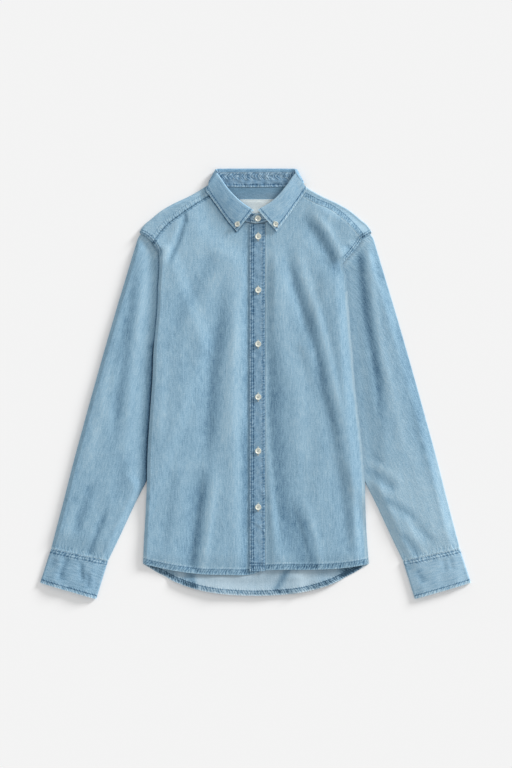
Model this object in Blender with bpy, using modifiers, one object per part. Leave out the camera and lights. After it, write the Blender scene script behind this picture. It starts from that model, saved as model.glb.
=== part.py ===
"""A long-sleeved denim shirt with a button-down collar, laid flat with its front up.

Metres, +Z up. The floor is z = 0, the collar points to +Y and the wearer's left is +X.
Tables and named sizes are in millimetres.
"""

import math

import bmesh
import bpy
import numpy as np

MM = 0.001

# walls
CLOTH = 1.2
LEAF_CLOTH = 1.6
STAND_CLOTH = 1.5
BAND_CLOTH = 1.8
CUFF_CLOTH = 2.0
LABEL_CLOTH = 1.0
SEAM_GAP = 0.5
LAYER_GAP = 0.3

# how the layers lie: the rim is where the front rests on the back
RIM_TOP = 2 * CLOTH + LAYER_GAP
RIM_WIDTH = 16.0
RIM_SWELL = 0.5
FRONT_SWELL = 1.8
SHOULDER_SQUARE = 0.85
EDGE_RADIUS = 1.6

# the body rises over a tucked sleeve and falls beyond its inner edge
TUCK_LIFT = RIM_TOP + LAYER_GAP
TUCK_CORNER = 2.0
TUCK_SLOPE = (14.0, 44.0)
BACK_CORNER_FADE = 12.0

# where the front swells less: near the hem, round the neck and under the band
HEM_SLOPE_Y = (-352.0, -325.0)
HEM_SWELL = 0.35
NECK_CENTRE_Y = 352.0
NECK_SLOPE = (92.0, 135.0)
NECK_SWELL = 0.3
BAND_SLOPE = (14.0, 1.5)

# sleeves and cuffs
SLEEVE_SWELL = 3.0
SLEEVE_CROWN = (-2.0, 30.0)
SLEEVE_TUCK_CROWN = 32.0
SLEEVE_UNDER_BODY = 8.0
CUFF_SWELL = 1.4
CUFF_CROWN = (20.0, 54.0)
CUFF_RADIUS = 2.6

# centre front
BAND_LEFT, BAND_RIGHT = -10.9, 17.9
BAND_TOP, BAND_BOTTOM = 300.4, -352.0
BAND_TOP_Z = RIM_TOP + 2 * LAYER_GAP + BAND_CLOTH
UNDERLAP_RIGHT = 14.0
UNDERLAP_HEM_Y, UNDERLAP_HEM_RISE = -356.0, 0.4

# back yoke and label
BACK_SEAM_Y = 263.0
NECK_RAISE_Y = (346.0, 361.0)
NECK_RAISE_ASIDE = (60.0, 72.0)
LABEL_LEFT, LABEL_RIGHT = -29.0, 35.8
LABEL_TOP, LABEL_BOTTOM = 347.0, 316.5

# collar
COLLAR_X = 1.3
ROLL_RADIUS = 2.4
LEAF_START = 6.5
STAND_START = 6.9
STAND_FREE_START = 0.8
LEAF_BULGE = 1.2

# 18-ligne buttons
BUTTON_RADIUS = 5.7
BUTTON_HEIGHT = 2.4
BUTTON_LIFT = 0.45
BUTTON_X = 5.1
BUTTON_Y = (277.0, 176.5, 75.0, -24.5, -126.0, -231.5)
# in stations of the collar: back from the stand's end, and in from the leaf's point
STAND_BUTTON_BACK = 2.75
TIP_BUTTON_ALONG = 0.67
TIP_BUTTON_DOWN = 0.78

# the body's side edges seen from above, with the armhole seam in the upper rows
SIDE_HEM_Y = -337.0
HEM_HALF_WIDTH = 211.0
BACK_INSET = 0.8
SIDE_EDGE = {
    "y": (-337, -293, -233, -183, -134, -53, 11, 73, 101, 139, 177, 203, 229, 242, 250, 258,
          264, 271, 277, 283),
    "left": (-211.5, -209.6, -206, -204, -203, -198, -193.5, -190.8, -188, -184.5, -183.3, -181.5,
             -180.5, -180.8, -181.5, -188, -193.5, -201, -207.7, -218.5),
    "right": (213, 209.6, 206.5, 205.5, 202.3, 193.3, 186.5, 181.7, 179, 176.2, 173, 171,
              165.3, 180.3, 186, 191, 196, 201, 211, 219.5),
}
# the sleeve's hidden inner boundary under the body: armhole, armpit, then its folded inner edge
TUCK_EDGE = {
    "y": (-333, -183, 70, 125, 182, 228, 252, 262),
    "left": (277, 205, 118, 137, 160, 176, 187, 192),
    "right": (277, 205, 118, 134, 150, 165, 180, 190),
}
CORNER_Y = {"left": 250.0, "right": 229.0}
CORNER_FADE = {"left": 38.0, "right": 44.0}

# sleeves, as distances from the shirt's axis
SLEEVE_OUTER = {
    "y": (-309.3, -218, -143, -75, 7, 83, 150, 225, 271, 283),
    "x": (384, 360, 341, 322.5, 299.8, 278.2, 258.5, 236, 222.8, 219.5),
}
SLEEVE_INNER = {
    "y": (-332.8, -294, -218, -183, -60, 70),
    "x": (277.3, 258.5, 222.8, 205, 159, 118),
}
# the sleeve's inner edge comes out from under the body at this height
SLEEVE_LEAVES_Y = -183.0
# how far the armhole seam bows in from the line between shoulder tip and armpit, and which way
ARMHOLE_INWARD = (-0.902, 0.432)
ARMHOLE_BOW = {
    "w": (0, 0.04, 0.08, 0.12, 0.18, 0.23, 0.31, 0.5, 0.75, 1),
    "left": (0, 8, 12.5, 15.3, 16.3, 15.5, 13, 8, 3, 0),
    "right": (0, 6, 12, 13.2, 15.8, 18.5, 24.3, 20, 9, 0),
}
BOW_REACH = 0.12
YOKE_END_W = {"left": 0.118, "right": 0.082}
BACK_SEAM_W = {"left": 0.122, "right": 0.112}

NECK_POINT_X = 89.6
SHOULDER_TIP_X = 218.0
FRONT_NECK_X = 82.4
SHOULDER = {
    "x": (88, 97, 123, 155, 180, 198, 208, 215, 219),
    "y": (374, 368, 353, 338, 323, 308, 300, 291, 283),
}
YOKE_SEAM = {
    "x": (80, 92, 112, 142, 166, 190, 201),
    "left": (357.5, 350.4, 338, 317.5, 299, 270.5, 256),
    "right": (357.5, 350.4, 340, 327, 308.5, 284, 271),
}
FRONT_HEM = {
    "x": (0, 12, 20, 45, 104, 150, 185, 213),
    "left": (-356, -358.5, -359.3, -359, -357.4, -351.5, -344.5, -337.5),
    "right": (-350.5, -350.5, -350.3, -349.4, -349.2, -347.5, -343.5, -338.5),
}
BACK_HEM = {
    "x": (0, 45, 89, 120, 142, 159, 172, 187, 199, 213),
    "y": (-398.4, -396.5, -391.2, -383.7, -376.2, -368.7, -361.2, -353.6, -346.1, -338),
}
# from the cuff's seam to its opening
CUFF_EDGE = {
    "along": (0, 1),
    "outer_x": (384.0, 405.0),
    "outer_y": (-309.3, -373.8),
    "inner_x": (277.3, 299.6),
    "inner_y": (-332.8, -404.4),
}

# half of the collar, from centre back to the front end, from its own middle line.
# fold: where leaf and stand turn over; edge: the leaf's outer edge; neck: the stand's lower edge
COLLAR = {
    "fold_x": (0, 30, 50, 63),
    "fold_y": (404.8, 404.8, 404.8, 404.5),
    "fold_z": (2.4, 2.4, 2.4, 2.4),
    "edge_x": (0, 30, 51, 66),
    "edge_y": (364.6, 364.8, 368.0, 374.8),
    "edge_z": (0, 0, 0, 0),
    "neck_x": (0, 32, 55, 73),
    "neck_y": (370.0, 370.2, 371.0, 373.0),
    "neck_z": (3.8, 3.8, 3.8, 3.8),
}
COLLAR_CREASE = {
    "end": ("fold", "edge", "neck"),
    "x": (74.0, 90.2, 88.0),
    "y": (402.0, 375.2, 375.6),
    "z": (5.2, 4.1, 4.2),
    "radius": (2.8, 3.9, 0.4),
}
CREASE_OUTWARD = (0.85, 0.53)
COLLAR_FRONT = {
    "fold_x": (74.0, 66.5, 56.1, 44.5, 27.5, 9.6),
    "fold_y": (399.0, 387.0, 371.5, 358.0, 342.0, 327.5),
    "fold_z": (8.4, 9.8, 11.0, 11.7, 11.6, 9.8),
    "edge_x": (94.6, 86.0, 75.5, 63.5, 50.5, 37.7),
    "edge_y": (369.0, 354.0, 339.5, 322.5, 304.5, 286.2),
    "edge_z": (7.8, 7.4, 7.0, 6.7, 6.3, 5.7),
    "neck_x": (88.2, 81.5, 70.2, 56.5, 41.0, 24.0),
    "neck_y": (371.5, 358.0, 345.0, 332.0, 319.0, 307.0),
    "neck_z": (4.7, 4.5, 4.2, 3.9, 3.5, 3.1),
    "lap": (0, 0, 0, 0.2, 0.6, 1.6),
}
STAND_END = {
    "fold_x": (2.0, -6.0, -10.5),
    "fold_y": (320.5, 316.0, 310.5),
    "fold_z": (6.8, 5.6, 5.0),
    "neck_x": (9.0, -2.0, -9.0),
    "neck_y": (303.0, 301.8, 303.6),
    "neck_z": (2.4, 2.1, 2.1),
    "lap": (2.8, 3.2, 3.2),
}

# the largest folds, from one end to the other; depth is down, a negative one is a ridge
BODY_FOLDS = {
    "x0": (-78, -45, 84, 65, 110, -120, 40),
    "y0": (272, 200, 322, 252, 60, 40, 120),
    "x1": (-160, -36, 160, 84, 128, -105, 52),
    "y1": (82, -140, 165, 60, -230, -250, -200),
    "width": (15, 14, 13, 15, 20, 22, 16),
    "depth": (1.0, 0.8, 1.5, 1.0, 0.7, 0.6, 0.6),
}
SLEEVE_FOLDS = {
    "side": ("right", "right", "right", "left", "left", "left"),
    "x0": (199, 216, 330, 226, 255, 300),
    "y0": (262, 40, -150, 232, -20, -190),
    "x1": (212, 250, 270, 250, 278, 345),
    "y1": (40, -120, -215, 60, -200, -270),
    "width": (12, 14, 14, 13, 14, 12),
    "depth": (2.2, 1.6, 1.2, 1.6, 1.3, 0.9),
}

# cells across and along
YOKE_COLUMNS, YOKE_ROWS, YOKE_BACK_ROWS = 7, 4, 4
NECK_SHARES = (0, 0.1, 0.21, 0.55, 1)
FRONT_ROWS = 17
BACK_COLUMNS, BACK_ROWS = 16, 17
SLEEVE_TOP, SLEEVE_BOTTOM, SLEEVE_ROWS = 13, 6, 17
CUFF_TOP, CUFF_BOTTOM, CUFF_ROWS = 10, 4, 3
BAND_COLUMNS, BAND_ROWS = 3, 20
TURN_CELLS = 3
LEAF_CELLS, ROLL_CELLS, STAND_CELLS = 5, 4, 4
BUTTON_STEPS = 14

COLOURS = {
    "denim": ((0.245, 0.395, 0.510), 0.85),
    "denim_inside": ((0.340, 0.475, 0.570), 0.88),
    "denim_seamed": ((0.190, 0.325, 0.450), 0.85),
    "label_cotton": ((0.720, 0.745, 0.720), 0.80),
    "button_resin": ((0.720, 0.690, 0.580), 0.30),
}


# numbers

def read(table, column, at, key="y"):
    """A table's column at any value of its key, on a smooth curve through its rows."""
    knots = np.array(table[key], float)
    values = np.array(table[column], float)
    at = np.clip(np.asarray(at, float), knots[0], knots[-1])
    slopes = np.gradient(values, knots)
    low = np.clip(np.searchsorted(knots, at) - 1, 0, len(knots) - 2)
    span = knots[low + 1] - knots[low]
    t = (at - knots[low]) / span
    return (
        values[low] * (1 + 2 * t) * (1 - t) ** 2
        + values[low + 1] * t * t * (3 - 2 * t)
        + span * t * (1 - t) * (slopes[low] * (1 - t) - slopes[low + 1] * t)
    )


def ease(low, high, at):
    t = np.clip((np.asarray(at, float) - low) / (high - low), 0, 1)
    return t * t * (3 - 2 * t)


def mix(a, b, t):
    return a + (b - a) * t


def troughs(folds, x, y, side=None):
    """How far the table's folds push the cloth down at x, y."""
    down = np.zeros_like(np.asarray(x, float))
    for i in range(len(folds["x0"])):
        if side and folds["side"][i] != side:
            continue
        dx = folds["x1"][i] - folds["x0"][i]
        dy = folds["y1"][i] - folds["y0"][i]
        length = math.hypot(dx, dy)
        along = ((x - folds["x0"][i]) * dx + (y - folds["y0"][i]) * dy) / length
        aside = ((x - folds["x0"][i]) * dy - (y - folds["y0"][i]) * dx) / length
        fade = ease(-0.15 * length, 0.25 * length, along) * (1 - ease(0.7 * length, 1.15 * length, along))
        down = down + folds["depth"][i] * fade * np.exp(-((aside / folds["width"][i]) ** 2))
    return down


# heights

def side_of(x):
    return "left" if x < 0 else "right"


def lift_over_sleeve(x, y, back=False):
    """How far the body is raised where a sleeve is tucked under it."""
    lift = np.zeros(np.broadcast(x, y).shape)
    for side, sign in (("left", -1), ("right", 1)):
        inner = np.interp(y, TUCK_EDGE["y"], TUCK_EDGE[side])
        beyond = inner - sign * np.asarray(x, float)
        fade = BACK_CORNER_FADE if back else CORNER_FADE[side]
        corner = CORNER_Y[side] + TUCK_CORNER
        held = 1 - ease(corner, corner + fade, y)
        lift = np.maximum(lift, TUCK_LIFT * held * (1 - ease(*TUCK_SLOPE, beyond)))
    return lift


def inside_outline(x, y):
    """Distance in from the body's outline, the side edges and shoulders."""
    from_left = x - read(SIDE_EDGE, "left", y)
    from_right = read(SIDE_EDGE, "right", y) - x
    from_shoulder = (read(SHOULDER, "y", np.abs(x), key="x") - y) * SHOULDER_SQUARE
    return np.minimum(np.minimum(from_left, from_right), from_shoulder)


def front_top(x, y):
    """Top of the fronts and of the yoke's front."""
    x = np.asarray(x, float)
    y = np.asarray(y, float)
    from_neck = np.hypot(x - COLLAR_X, y - NECK_CENTRE_Y)
    neck = mix(NECK_SWELL, 1.0, ease(*NECK_SLOPE, from_neck))
    hem = mix(HEM_SWELL, 1.0, ease(*HEM_SLOPE_Y, y))
    rim = ease(0, RIM_WIDTH, inside_outline(x, y))
    swell = (FRONT_SWELL - troughs(BODY_FOLDS, x, y)) * rim * hem
    return RIM_TOP + lift_over_sleeve(x, y) + RIM_SWELL + neck * np.maximum(swell - RIM_SWELL, 0)


def underlap_top(x, y):
    """Top of the front that goes under the band, pressed down there."""
    pressed = ease(BAND_LEFT - BAND_SLOPE[0], BAND_LEFT - BAND_SLOPE[1], x)
    return mix(front_top(x, y), RIM_TOP + LAYER_GAP, pressed)


def back_bottom(x, y):
    return lift_over_sleeve(x, y, back=True)


def neckline_raise(x, y):
    """The back neckline lies on the collar leaf."""
    aside = np.abs(x - COLLAR_X)
    return (LEAF_CLOTH + LAYER_GAP) * ease(*NECK_RAISE_Y, y) * (1 - ease(*NECK_RAISE_ASIDE, aside))


def sleeve_top(side, x, y):
    out = np.abs(x)
    from_outer = read(SLEEVE_OUTER, "x", y) - out
    body = np.abs(read(SIDE_EDGE, side, y))
    inner = read(SLEEVE_INNER, "x", np.minimum(y, SLEEVE_LEAVES_Y))
    limit = np.where(y > SLEEVE_LEAVES_Y, body + SLEEVE_UNDER_BODY, inner)
    crown = ease(*SLEEVE_CROWN, from_outer) * ease(0, SLEEVE_TUCK_CROWN, out - limit)
    swell = (SLEEVE_SWELL - troughs(SLEEVE_FOLDS, out, y, side)) * crown
    return RIM_TOP + np.maximum(swell, 0)


# plans

def sleeve_plan(side, along, across):
    """A sleeve's point, its x counted out from the axis: along to the cuff, across to the inner edge."""
    outer_y = mix(SLEEVE_OUTER["y"][-1], SLEEVE_OUTER["y"][0], along)
    inner_y = mix(SLEEVE_INNER["y"][-1], SLEEVE_INNER["y"][0], along)
    x = mix(read(SLEEVE_OUTER, "x", outer_y), read(SLEEVE_INNER, "x", inner_y), across)
    y = mix(outer_y, inner_y, across)
    bow = read(ARMHOLE_BOW, side, across, key="w") * np.clip(1 - along / BOW_REACH, 0, 1) ** 1.5
    return x + ARMHOLE_INWARD[0] * bow, y + ARMHOLE_INWARD[1] * bow


def shoulder_point(across):
    """Along the shoulder's outline, from the neck to the tip."""
    x = mix(NECK_POINT_X, SHOULDER_TIP_X, 1 - (1 - across) ** 1.25)
    return x, read(SHOULDER, "y", x, key="x")


def yoke_columns(side):
    """The yoke's columns from the neck to the armhole: outline, front seam and back seam points."""
    sign = -1 if side == "left" else 1
    across = np.linspace(0, 1, YOKE_COLUMNS + 1)
    end_x, end_y = sleeve_plan(side, 0.0, YOKE_END_W[side])
    seam_x = mix(FRONT_NECK_X, end_x, across)
    seam_y = read(YOKE_SEAM, side, seam_x, key="x")
    seam_y[-1] = end_y
    top_x, top_y = shoulder_point(across)
    shift = sign * COLLAR_X * (1 - across)
    back_end_x = sleeve_plan(side, 0.0, BACK_SEAM_W[side])[0]
    back_x = mix(NECK_POINT_X, back_end_x, across)
    back_y = np.full_like(back_x, BACK_SEAM_Y)
    return {
        "across": across,
        "top": (sign * (top_x + shift), top_y),
        "seam": (sign * (seam_x + shift), seam_y),
        "back": (sign * (back_x + shift), back_y),
    }


def collar_rows():
    """Stations from the left front end round the back to the right front end, as arrays of points."""
    rows = []
    for sign, upper in ((-1, 0), (1, 1)):
        half = []
        for i in range(len(COLLAR["fold_x"])):
            half.append(collar_row(COLLAR, i, -90.0, leaf=True, upper=0))
        for angle in (-90.0, -45.0, 0.0, 45.0, 90.0):
            half.append(crease_row(angle))
        for i in range(len(COLLAR_FRONT["fold_x"])):
            half.append(collar_row(COLLAR_FRONT, i, 90.0, leaf=True, upper=upper))
        for i in range(len(STAND_END["fold_x"])):
            half.append(collar_row(STAND_END, i, 90.0, leaf=False, upper=upper))
        for row in half:
            for name in ("fold", "edge", "neck", "outward"):
                row[name] = row[name] * np.array([sign, 1, 1])
        rows.append(half)
    left, right = rows
    return left[:0:-1] + right


def collar_row(table, i, angle, leaf, upper):
    lap = table["lap"][i] * upper if "lap" in table else 0.0
    fold = np.array([table["fold_x"][i], table["fold_y"][i], table["fold_z"][i] + lap])
    neck = np.array([table["neck_x"][i], table["neck_y"][i], table["neck_z"][i] + lap])
    edge = neck.copy()
    if leaf:
        edge = np.array([table["edge_x"][i], table["edge_y"][i], table["edge_z"][i] + lap])
    return {"fold": fold, "edge": edge, "neck": neck, "angle": angle, "leaf": leaf,
            "outward": np.array([0.0, 0.0, 0.0])}


def crease_row(angle):
    turn = math.radians(angle)
    swing = np.array([CREASE_OUTWARD[0] * math.cos(turn), CREASE_OUTWARD[1] * math.cos(turn), math.sin(turn)])
    row = {"angle": angle, "leaf": True, "outward": np.array([*CREASE_OUTWARD, 0.0])}
    for i, end in enumerate(COLLAR_CREASE["end"]):
        centre = np.array([COLLAR_CREASE["x"][i], COLLAR_CREASE["y"][i], COLLAR_CREASE["z"][i]])
        row[end] = centre + COLLAR_CREASE["radius"][i] * swing
    return row


def facing(row, towards):
    """The side of the folded collar that the leaf is on, square to the run from fold to edge."""
    turn = math.radians(row["angle"])
    normal = row["outward"] * math.cos(turn) + np.array([0, 0, math.sin(turn)])
    run = towards - row["fold"]
    run = run / np.linalg.norm(run)
    normal = normal - run * normal.dot(run)
    return normal / np.linalg.norm(normal)


def leaf_section(row):
    """The leaf's outer surface: from the stand's seam round the roll and down to its edge."""
    width = np.linalg.norm(row["edge"] - row["fold"])
    run = (row["edge"] - row["fold"]) / width
    normal = facing(row, row["edge"])
    bulge = LEAF_BULGE * max(0.0, math.sin(math.radians(row["angle"])))
    points = [(LEAF_START, -ROLL_RADIUS)]
    for step in range(ROLL_CELLS + 1):
        turn = math.pi * (step / ROLL_CELLS - 0.5)
        points.append((ROLL_RADIUS - ROLL_RADIUS * math.cos(turn), ROLL_RADIUS * math.sin(turn)))
    for step in range(1, LEAF_CELLS + 1):
        down = mix(ROLL_RADIUS, width, step / LEAF_CELLS)
        share = down / width
        points.append((down, ROLL_RADIUS * (1 - share) + bulge * math.sin(math.pi * share)))
    section = np.array([row["fold"] + run * down + normal * out for down, out in points])
    section[:, 2] = np.maximum(section[:, 2], 0.0)
    return section


def stand_section(row):
    """The stand's inner face, from the leaf's seam, or its own free edge, down to the neckline."""
    start = STAND_START if row["leaf"] else STAND_FREE_START
    run = (row["edge"] - row["fold"]) / np.linalg.norm(row["edge"] - row["fold"])
    top = row["fold"] + run * start - facing(row, row["edge"]) * ROLL_RADIUS
    return [mix(top, row["neck"], step / STAND_CELLS) for step in range(STAND_CELLS + 1)]


# cloth

def material(name):
    colour, roughness = COLOURS[name]
    made = bpy.data.materials.get(name)
    if made is None:
        made = bpy.data.materials.new(name)
        made.use_nodes = True
        shader = made.node_tree.nodes["Principled BSDF"]
        shader.inputs["Base Color"].default_value = (*colour, 1.0)
        shader.inputs["Roughness"].default_value = roughness
        shader.inputs["Metallic"].default_value = 0.0
    return made


def finish(obj, collection, finish_name, smooth=40.0):
    obj.data.materials.append(material(finish_name))
    obj.data.shade_smooth()
    obj.data.set_sharp_from_angle(angle=math.radians(smooth))
    collection.objects.link(obj)
    return obj


def cloth(name, points, thickness, finish_name, collection, keep=None):
    """A wall from a grid of points on its outer side, rows by columns, millimetres; a tube's ends weld."""
    points = np.asarray(points, float)
    rows, columns = points.shape[0] - 1, points.shape[1] - 1
    grid = bmesh.new()
    bmesh.ops.create_grid(grid, x_segments=columns, y_segments=rows, size=0.5)
    dropped = []
    for face in grid.faces:
        centre = face.calc_center_median()
        column = int((centre.x + 0.5) * columns)
        row = int((centre.y + 0.5) * rows)
        if keep is not None and not keep(row, column):
            dropped.append(face)
    for vertex in grid.verts:
        column = round((vertex.co.x + 0.5) * columns)
        row = round((vertex.co.y + 0.5) * rows)
        vertex.co = points[row, column] * MM
    bmesh.ops.delete(grid, geom=dropped, context="FACES")
    bmesh.ops.remove_doubles(grid, verts=grid.verts, dist=0.00002)
    mesh = bpy.data.meshes.new(name)
    grid.to_mesh(mesh)
    grid.free()
    obj = bpy.data.objects.new(name, mesh)
    wall = obj.modifiers.new("wall", "SOLIDIFY")
    wall.thickness = thickness * MM
    wall.offset = -1.0
    return finish(obj, collection, finish_name)


def flat_tube(plan, top, rows, upper_shares, lower_shares, radius):
    """Rings of a flattened tube: plan(row, across) gives x and y, top(x, y) the upper side's height."""
    grid = []
    for row in rows:
        start = np.array(plan(row, 0.0))
        end = np.array(plan(row, 1.0))
        width = np.linalg.norm(end - start)
        run = (end - start) / width
        inset = radius / width
        ring = []
        upper = [np.array(plan(row, mix(inset, 1 - inset, share))) for share in upper_shares]
        for spot in upper:
            ring.append((*spot, float(top(*spot))))
        for centre, outward, turns in (
            (upper[-1], run, range(1, TURN_CELLS)),
            (upper[0], -run, range(TURN_CELLS - 1, 0, -1)),
        ):
            half = float(top(*centre)) / 2
            edge = []
            for step in turns:
                turn = math.pi * step / TURN_CELLS
                spot = centre + outward * radius * math.sin(turn)
                edge.append((*spot, half + half * math.cos(turn)))
            if outward is run:
                ring += edge
                for share in lower_shares[::-1]:
                    ring.append((*plan(row, mix(inset, 1 - inset, share)), 0.0))
            else:
                ring += edge
        ring.append(ring[0])
        grid.append(ring)
    return np.array(grid)


# pieces

def make_back(collection):
    rows = list(np.linspace(0, 0.945, BACK_ROWS - 2)) + [0.963, 0.981, 1.0]
    columns = np.linspace(-1, 1, BACK_COLUMNS + 1)
    columns = columns * (1.25 - 0.25 * columns**2)
    columns = columns / columns[-1]
    grid = []
    for share in rows:
        line = []
        for across in columns:
            hem = read(BACK_HEM, "y", abs(across) * HEM_HALF_WIDTH, key="x")
            y = mix(hem, BACK_SEAM_Y - SEAM_GAP, share)
            left = read(SIDE_EDGE, "left", max(y, SIDE_HEM_Y)) + BACK_INSET
            right = read(SIDE_EDGE, "right", max(y, SIDE_HEM_Y)) - BACK_INSET
            x = mix(left, right, (across + 1) / 2)
            line.append((x, y, float(back_bottom(x, y))))
        grid.append(line[::-1])
    return cloth("back", grid, CLOTH, "denim_inside", collection)


def make_yoke(collection):
    left = yoke_columns("left")
    right = yoke_columns("right")
    centre_x = [COLLAR_X + sign * x for sign, x in
                [(-1, v) for v in COLLAR["neck_x"][:0:-1]] + [(1, v) for v in COLLAR["neck_x"]]]
    columns = [wing_column(left, i) for i in range(YOKE_COLUMNS, -1, -1)]
    columns += [neck_column(x) for x in centre_x]
    columns += [wing_column(right, i) for i in range(YOKE_COLUMNS + 1)]
    grid = np.array(columns).transpose(1, 0, 2)
    neck_start = YOKE_COLUMNS
    neck_end = YOKE_COLUMNS + len(centre_x)
    front_rows = YOKE_ROWS + TURN_CELLS

    def keep(row, column):
        return row >= front_rows or not neck_start <= column <= neck_end

    return cloth("yoke", grid, CLOTH, "denim", collection, keep)


def wing_column(source, i):
    """From the front seam over the shoulder's outline and down the back, on the outer side."""
    seam = np.array([source["seam"][0][i], source["seam"][1][i]])
    outline = np.array([source["top"][0][i], source["top"][1][i]])
    back = np.array([source["back"][0][i], source["back"][1][i]])
    side = side_of(seam[0])
    sign = -1 if side == "left" else 1
    last = source["across"][i] > 0.999
    normal = np.array([sign * 0.5, 0.866])
    fold = outline - normal * EDGE_RADIUS
    points = []
    for step in range(YOKE_ROWS + 1):
        spot = mix(seam, fold, step / YOKE_ROWS)
        if last:
            x, y = sleeve_plan(side, 0.0, YOKE_END_W[side] * (1 - step / YOKE_ROWS))
            spot = mix(np.array([sign * x, y]), fold, (step / YOKE_ROWS) ** 4)
        points.append((*spot, float(front_top(*spot))))
    half = points[-1][2] / 2
    centre = np.array(points[-1][:2])
    for step in range(1, TURN_CELLS):
        turn = math.pi * step / TURN_CELLS
        points.append((*(centre + normal * EDGE_RADIUS * math.sin(turn)), half + half * math.cos(turn)))
    for step in range(YOKE_BACK_ROWS + 1):
        spot = mix(centre, back, step / YOKE_BACK_ROWS)
        if last:
            x, y = sleeve_plan(side, 0.0, BACK_SEAM_W[side] * step / YOKE_BACK_ROWS)
            spot = mix(np.array([sign * x, y]), centre, (1 - step / YOKE_BACK_ROWS) ** 4)
        points.append((*spot, float(neckline_raise(*spot))))
    return points


def neck_column(x):
    """From the back neckline down to the back seam, on the outer side."""
    across = abs(x - COLLAR_X)
    neck_y = np.interp(across, COLLAR["neck_x"], COLLAR["neck_y"]) - SEAM_GAP
    top = (x, neck_y, float(neckline_raise(x, neck_y)))
    points = [top] * (YOKE_ROWS + TURN_CELLS)
    for step in range(YOKE_BACK_ROWS + 1):
        y = mix(neck_y, BACK_SEAM_Y, NECK_SHARES[step])
        points.append((x, y, float(neckline_raise(x, y))))
    return points


def front_columns(side, last_x):
    """Top ends of a front's columns, from the side edge to the centre: yoke seam, then neckline."""
    sign = -1 if side == "left" else 1
    wing = yoke_columns(side)
    tops = []
    for i in range(YOKE_COLUMNS, -1, -1):
        tops.append((wing["seam"][0][i], wing["seam"][1][i] - SEAM_GAP))
    for i in range(2, len(COLLAR_FRONT["neck_x"])):
        x = COLLAR_X + sign * COLLAR_FRONT["neck_x"][i]
        tops.append((x, COLLAR_FRONT["neck_y"][i] - 2 * SEAM_GAP))
    end_y = STAND_END["neck_y"][1] - 2 * SEAM_GAP
    if side == "left":
        tops += [(BAND_LEFT - 1.2, end_y + 1.2), (COLLAR_X, end_y), (last_x, end_y)]
    else:
        tops.append((last_x, end_y + 3.2))
    return tops


def make_front(name, side, last_x, top, collection):
    tops = front_columns(side, last_x)
    side_x = tops[0][0]
    corner = (tops[0][1] - CORNER_Y[side]) / (tops[0][1] - SIDE_HEM_Y)
    shares = [0, corner * 0.5] + list(mix(corner, 1.0, (np.linspace(0, 1, FRONT_ROWS - 1))))
    grid = []
    for share in shares[::-1]:
        line = []
        for x_top, y_top in tops:
            across = (x_top - side_x) / (last_x - side_x)
            x_hem = mix(read(SIDE_EDGE, side, SIDE_HEM_Y), last_x, across)
            hem = read(FRONT_HEM, side, abs(x_hem), key="x")
            if side == "left" and x_hem > 0:
                hem = UNDERLAP_HEM_Y + UNDERLAP_HEM_RISE * x_hem
            y = mix(y_top, hem, share)
            edge_y = mix(tops[0][1], SIDE_HEM_Y, share)
            x = mix(read(SIDE_EDGE, side, edge_y), last_x, across)
            if share == 0:
                x = x_top
            line.append((x, y, float(top(x, y))))
        grid.append(line if side == "left" else line[::-1])
    return cloth(name, grid, CLOTH, "denim", collection)


def make_band(collection):
    grid = []
    for y in np.linspace(BAND_BOTTOM, BAND_TOP, BAND_ROWS + 1):
        line = []
        for x in np.linspace(BAND_LEFT, BAND_RIGHT, BAND_COLUMNS + 1):
            line.append((x, y, BAND_TOP_Z))
        grid.append(line)
    return cloth("front_band", grid, BAND_CLOTH, "denim_seamed", collection)


def make_sleeve(name, side, collection):
    sign = -1 if side == "left" else 1
    rows = np.linspace(0, 1, SLEEVE_ROWS + 1) ** 1.08

    def plan(along, across):
        if side == "right":
            across = 1 - across
        x, y = sleeve_plan(side, along, across)
        back_off = SEAM_GAP * max(0.0, 1 - along * 40)
        return sign * (x + back_off), y - 1.6 * back_off + SEAM_GAP * along

    def top(x, y):
        return sleeve_top(side, x, y)

    upper = np.linspace(0, 1, SLEEVE_TOP + 1) ** 1.4
    lower = np.linspace(0, 1, SLEEVE_BOTTOM + 1) ** 1.8
    if side == "right":
        upper, lower = 1 - upper[::-1], 1 - lower[::-1]
    grid = flat_tube(plan, top, rows[::-1], upper, lower, EDGE_RADIUS)
    return cloth(name, grid, CLOTH, "denim", collection)


def make_cuff(name, side, collection):
    sign = -1 if side == "left" else 1

    def plan(along, across):
        if side == "right":
            across = 1 - across
        x = mix(read(CUFF_EDGE, "outer_x", along, "along"), read(CUFF_EDGE, "inner_x", along, "along"), across)
        y = mix(read(CUFF_EDGE, "outer_y", along, "along"), read(CUFF_EDGE, "inner_y", along, "along"), across)
        return sign * float(x), float(y)

    middle = np.array(plan(0.5, 0.5))
    run = np.array(plan(0.5, 1.0)) - np.array(plan(0.5, 0.0))
    run = run / np.linalg.norm(run)

    def top(x, y):
        away = abs((np.array([x, y]) - middle).dot(run))
        return 2 * CUFF_CLOTH + 2 * LAYER_GAP + CUFF_SWELL * (1 - ease(*CUFF_CROWN, away))

    rows = np.linspace(1, 0, CUFF_ROWS + 1)
    upper = np.linspace(0, 1, CUFF_TOP + 1)
    lower = np.linspace(0, 1, CUFF_BOTTOM + 1)
    grid = flat_tube(plan, top, rows, upper, lower, CUFF_RADIUS)
    return cloth(name, grid, CUFF_CLOTH, "denim_seamed", collection)


def collar_grids():
    """The leaf's outer points and the stand's inner ones, a line of them for each station."""
    rows = collar_rows()
    offset = np.array([COLLAR_X, 0, 0])
    leaf = np.array([leaf_section(row) for row in rows if row["leaf"]]) + offset
    stand = np.array([stand_section(row) for row in rows]) + offset
    return leaf, stand


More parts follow.
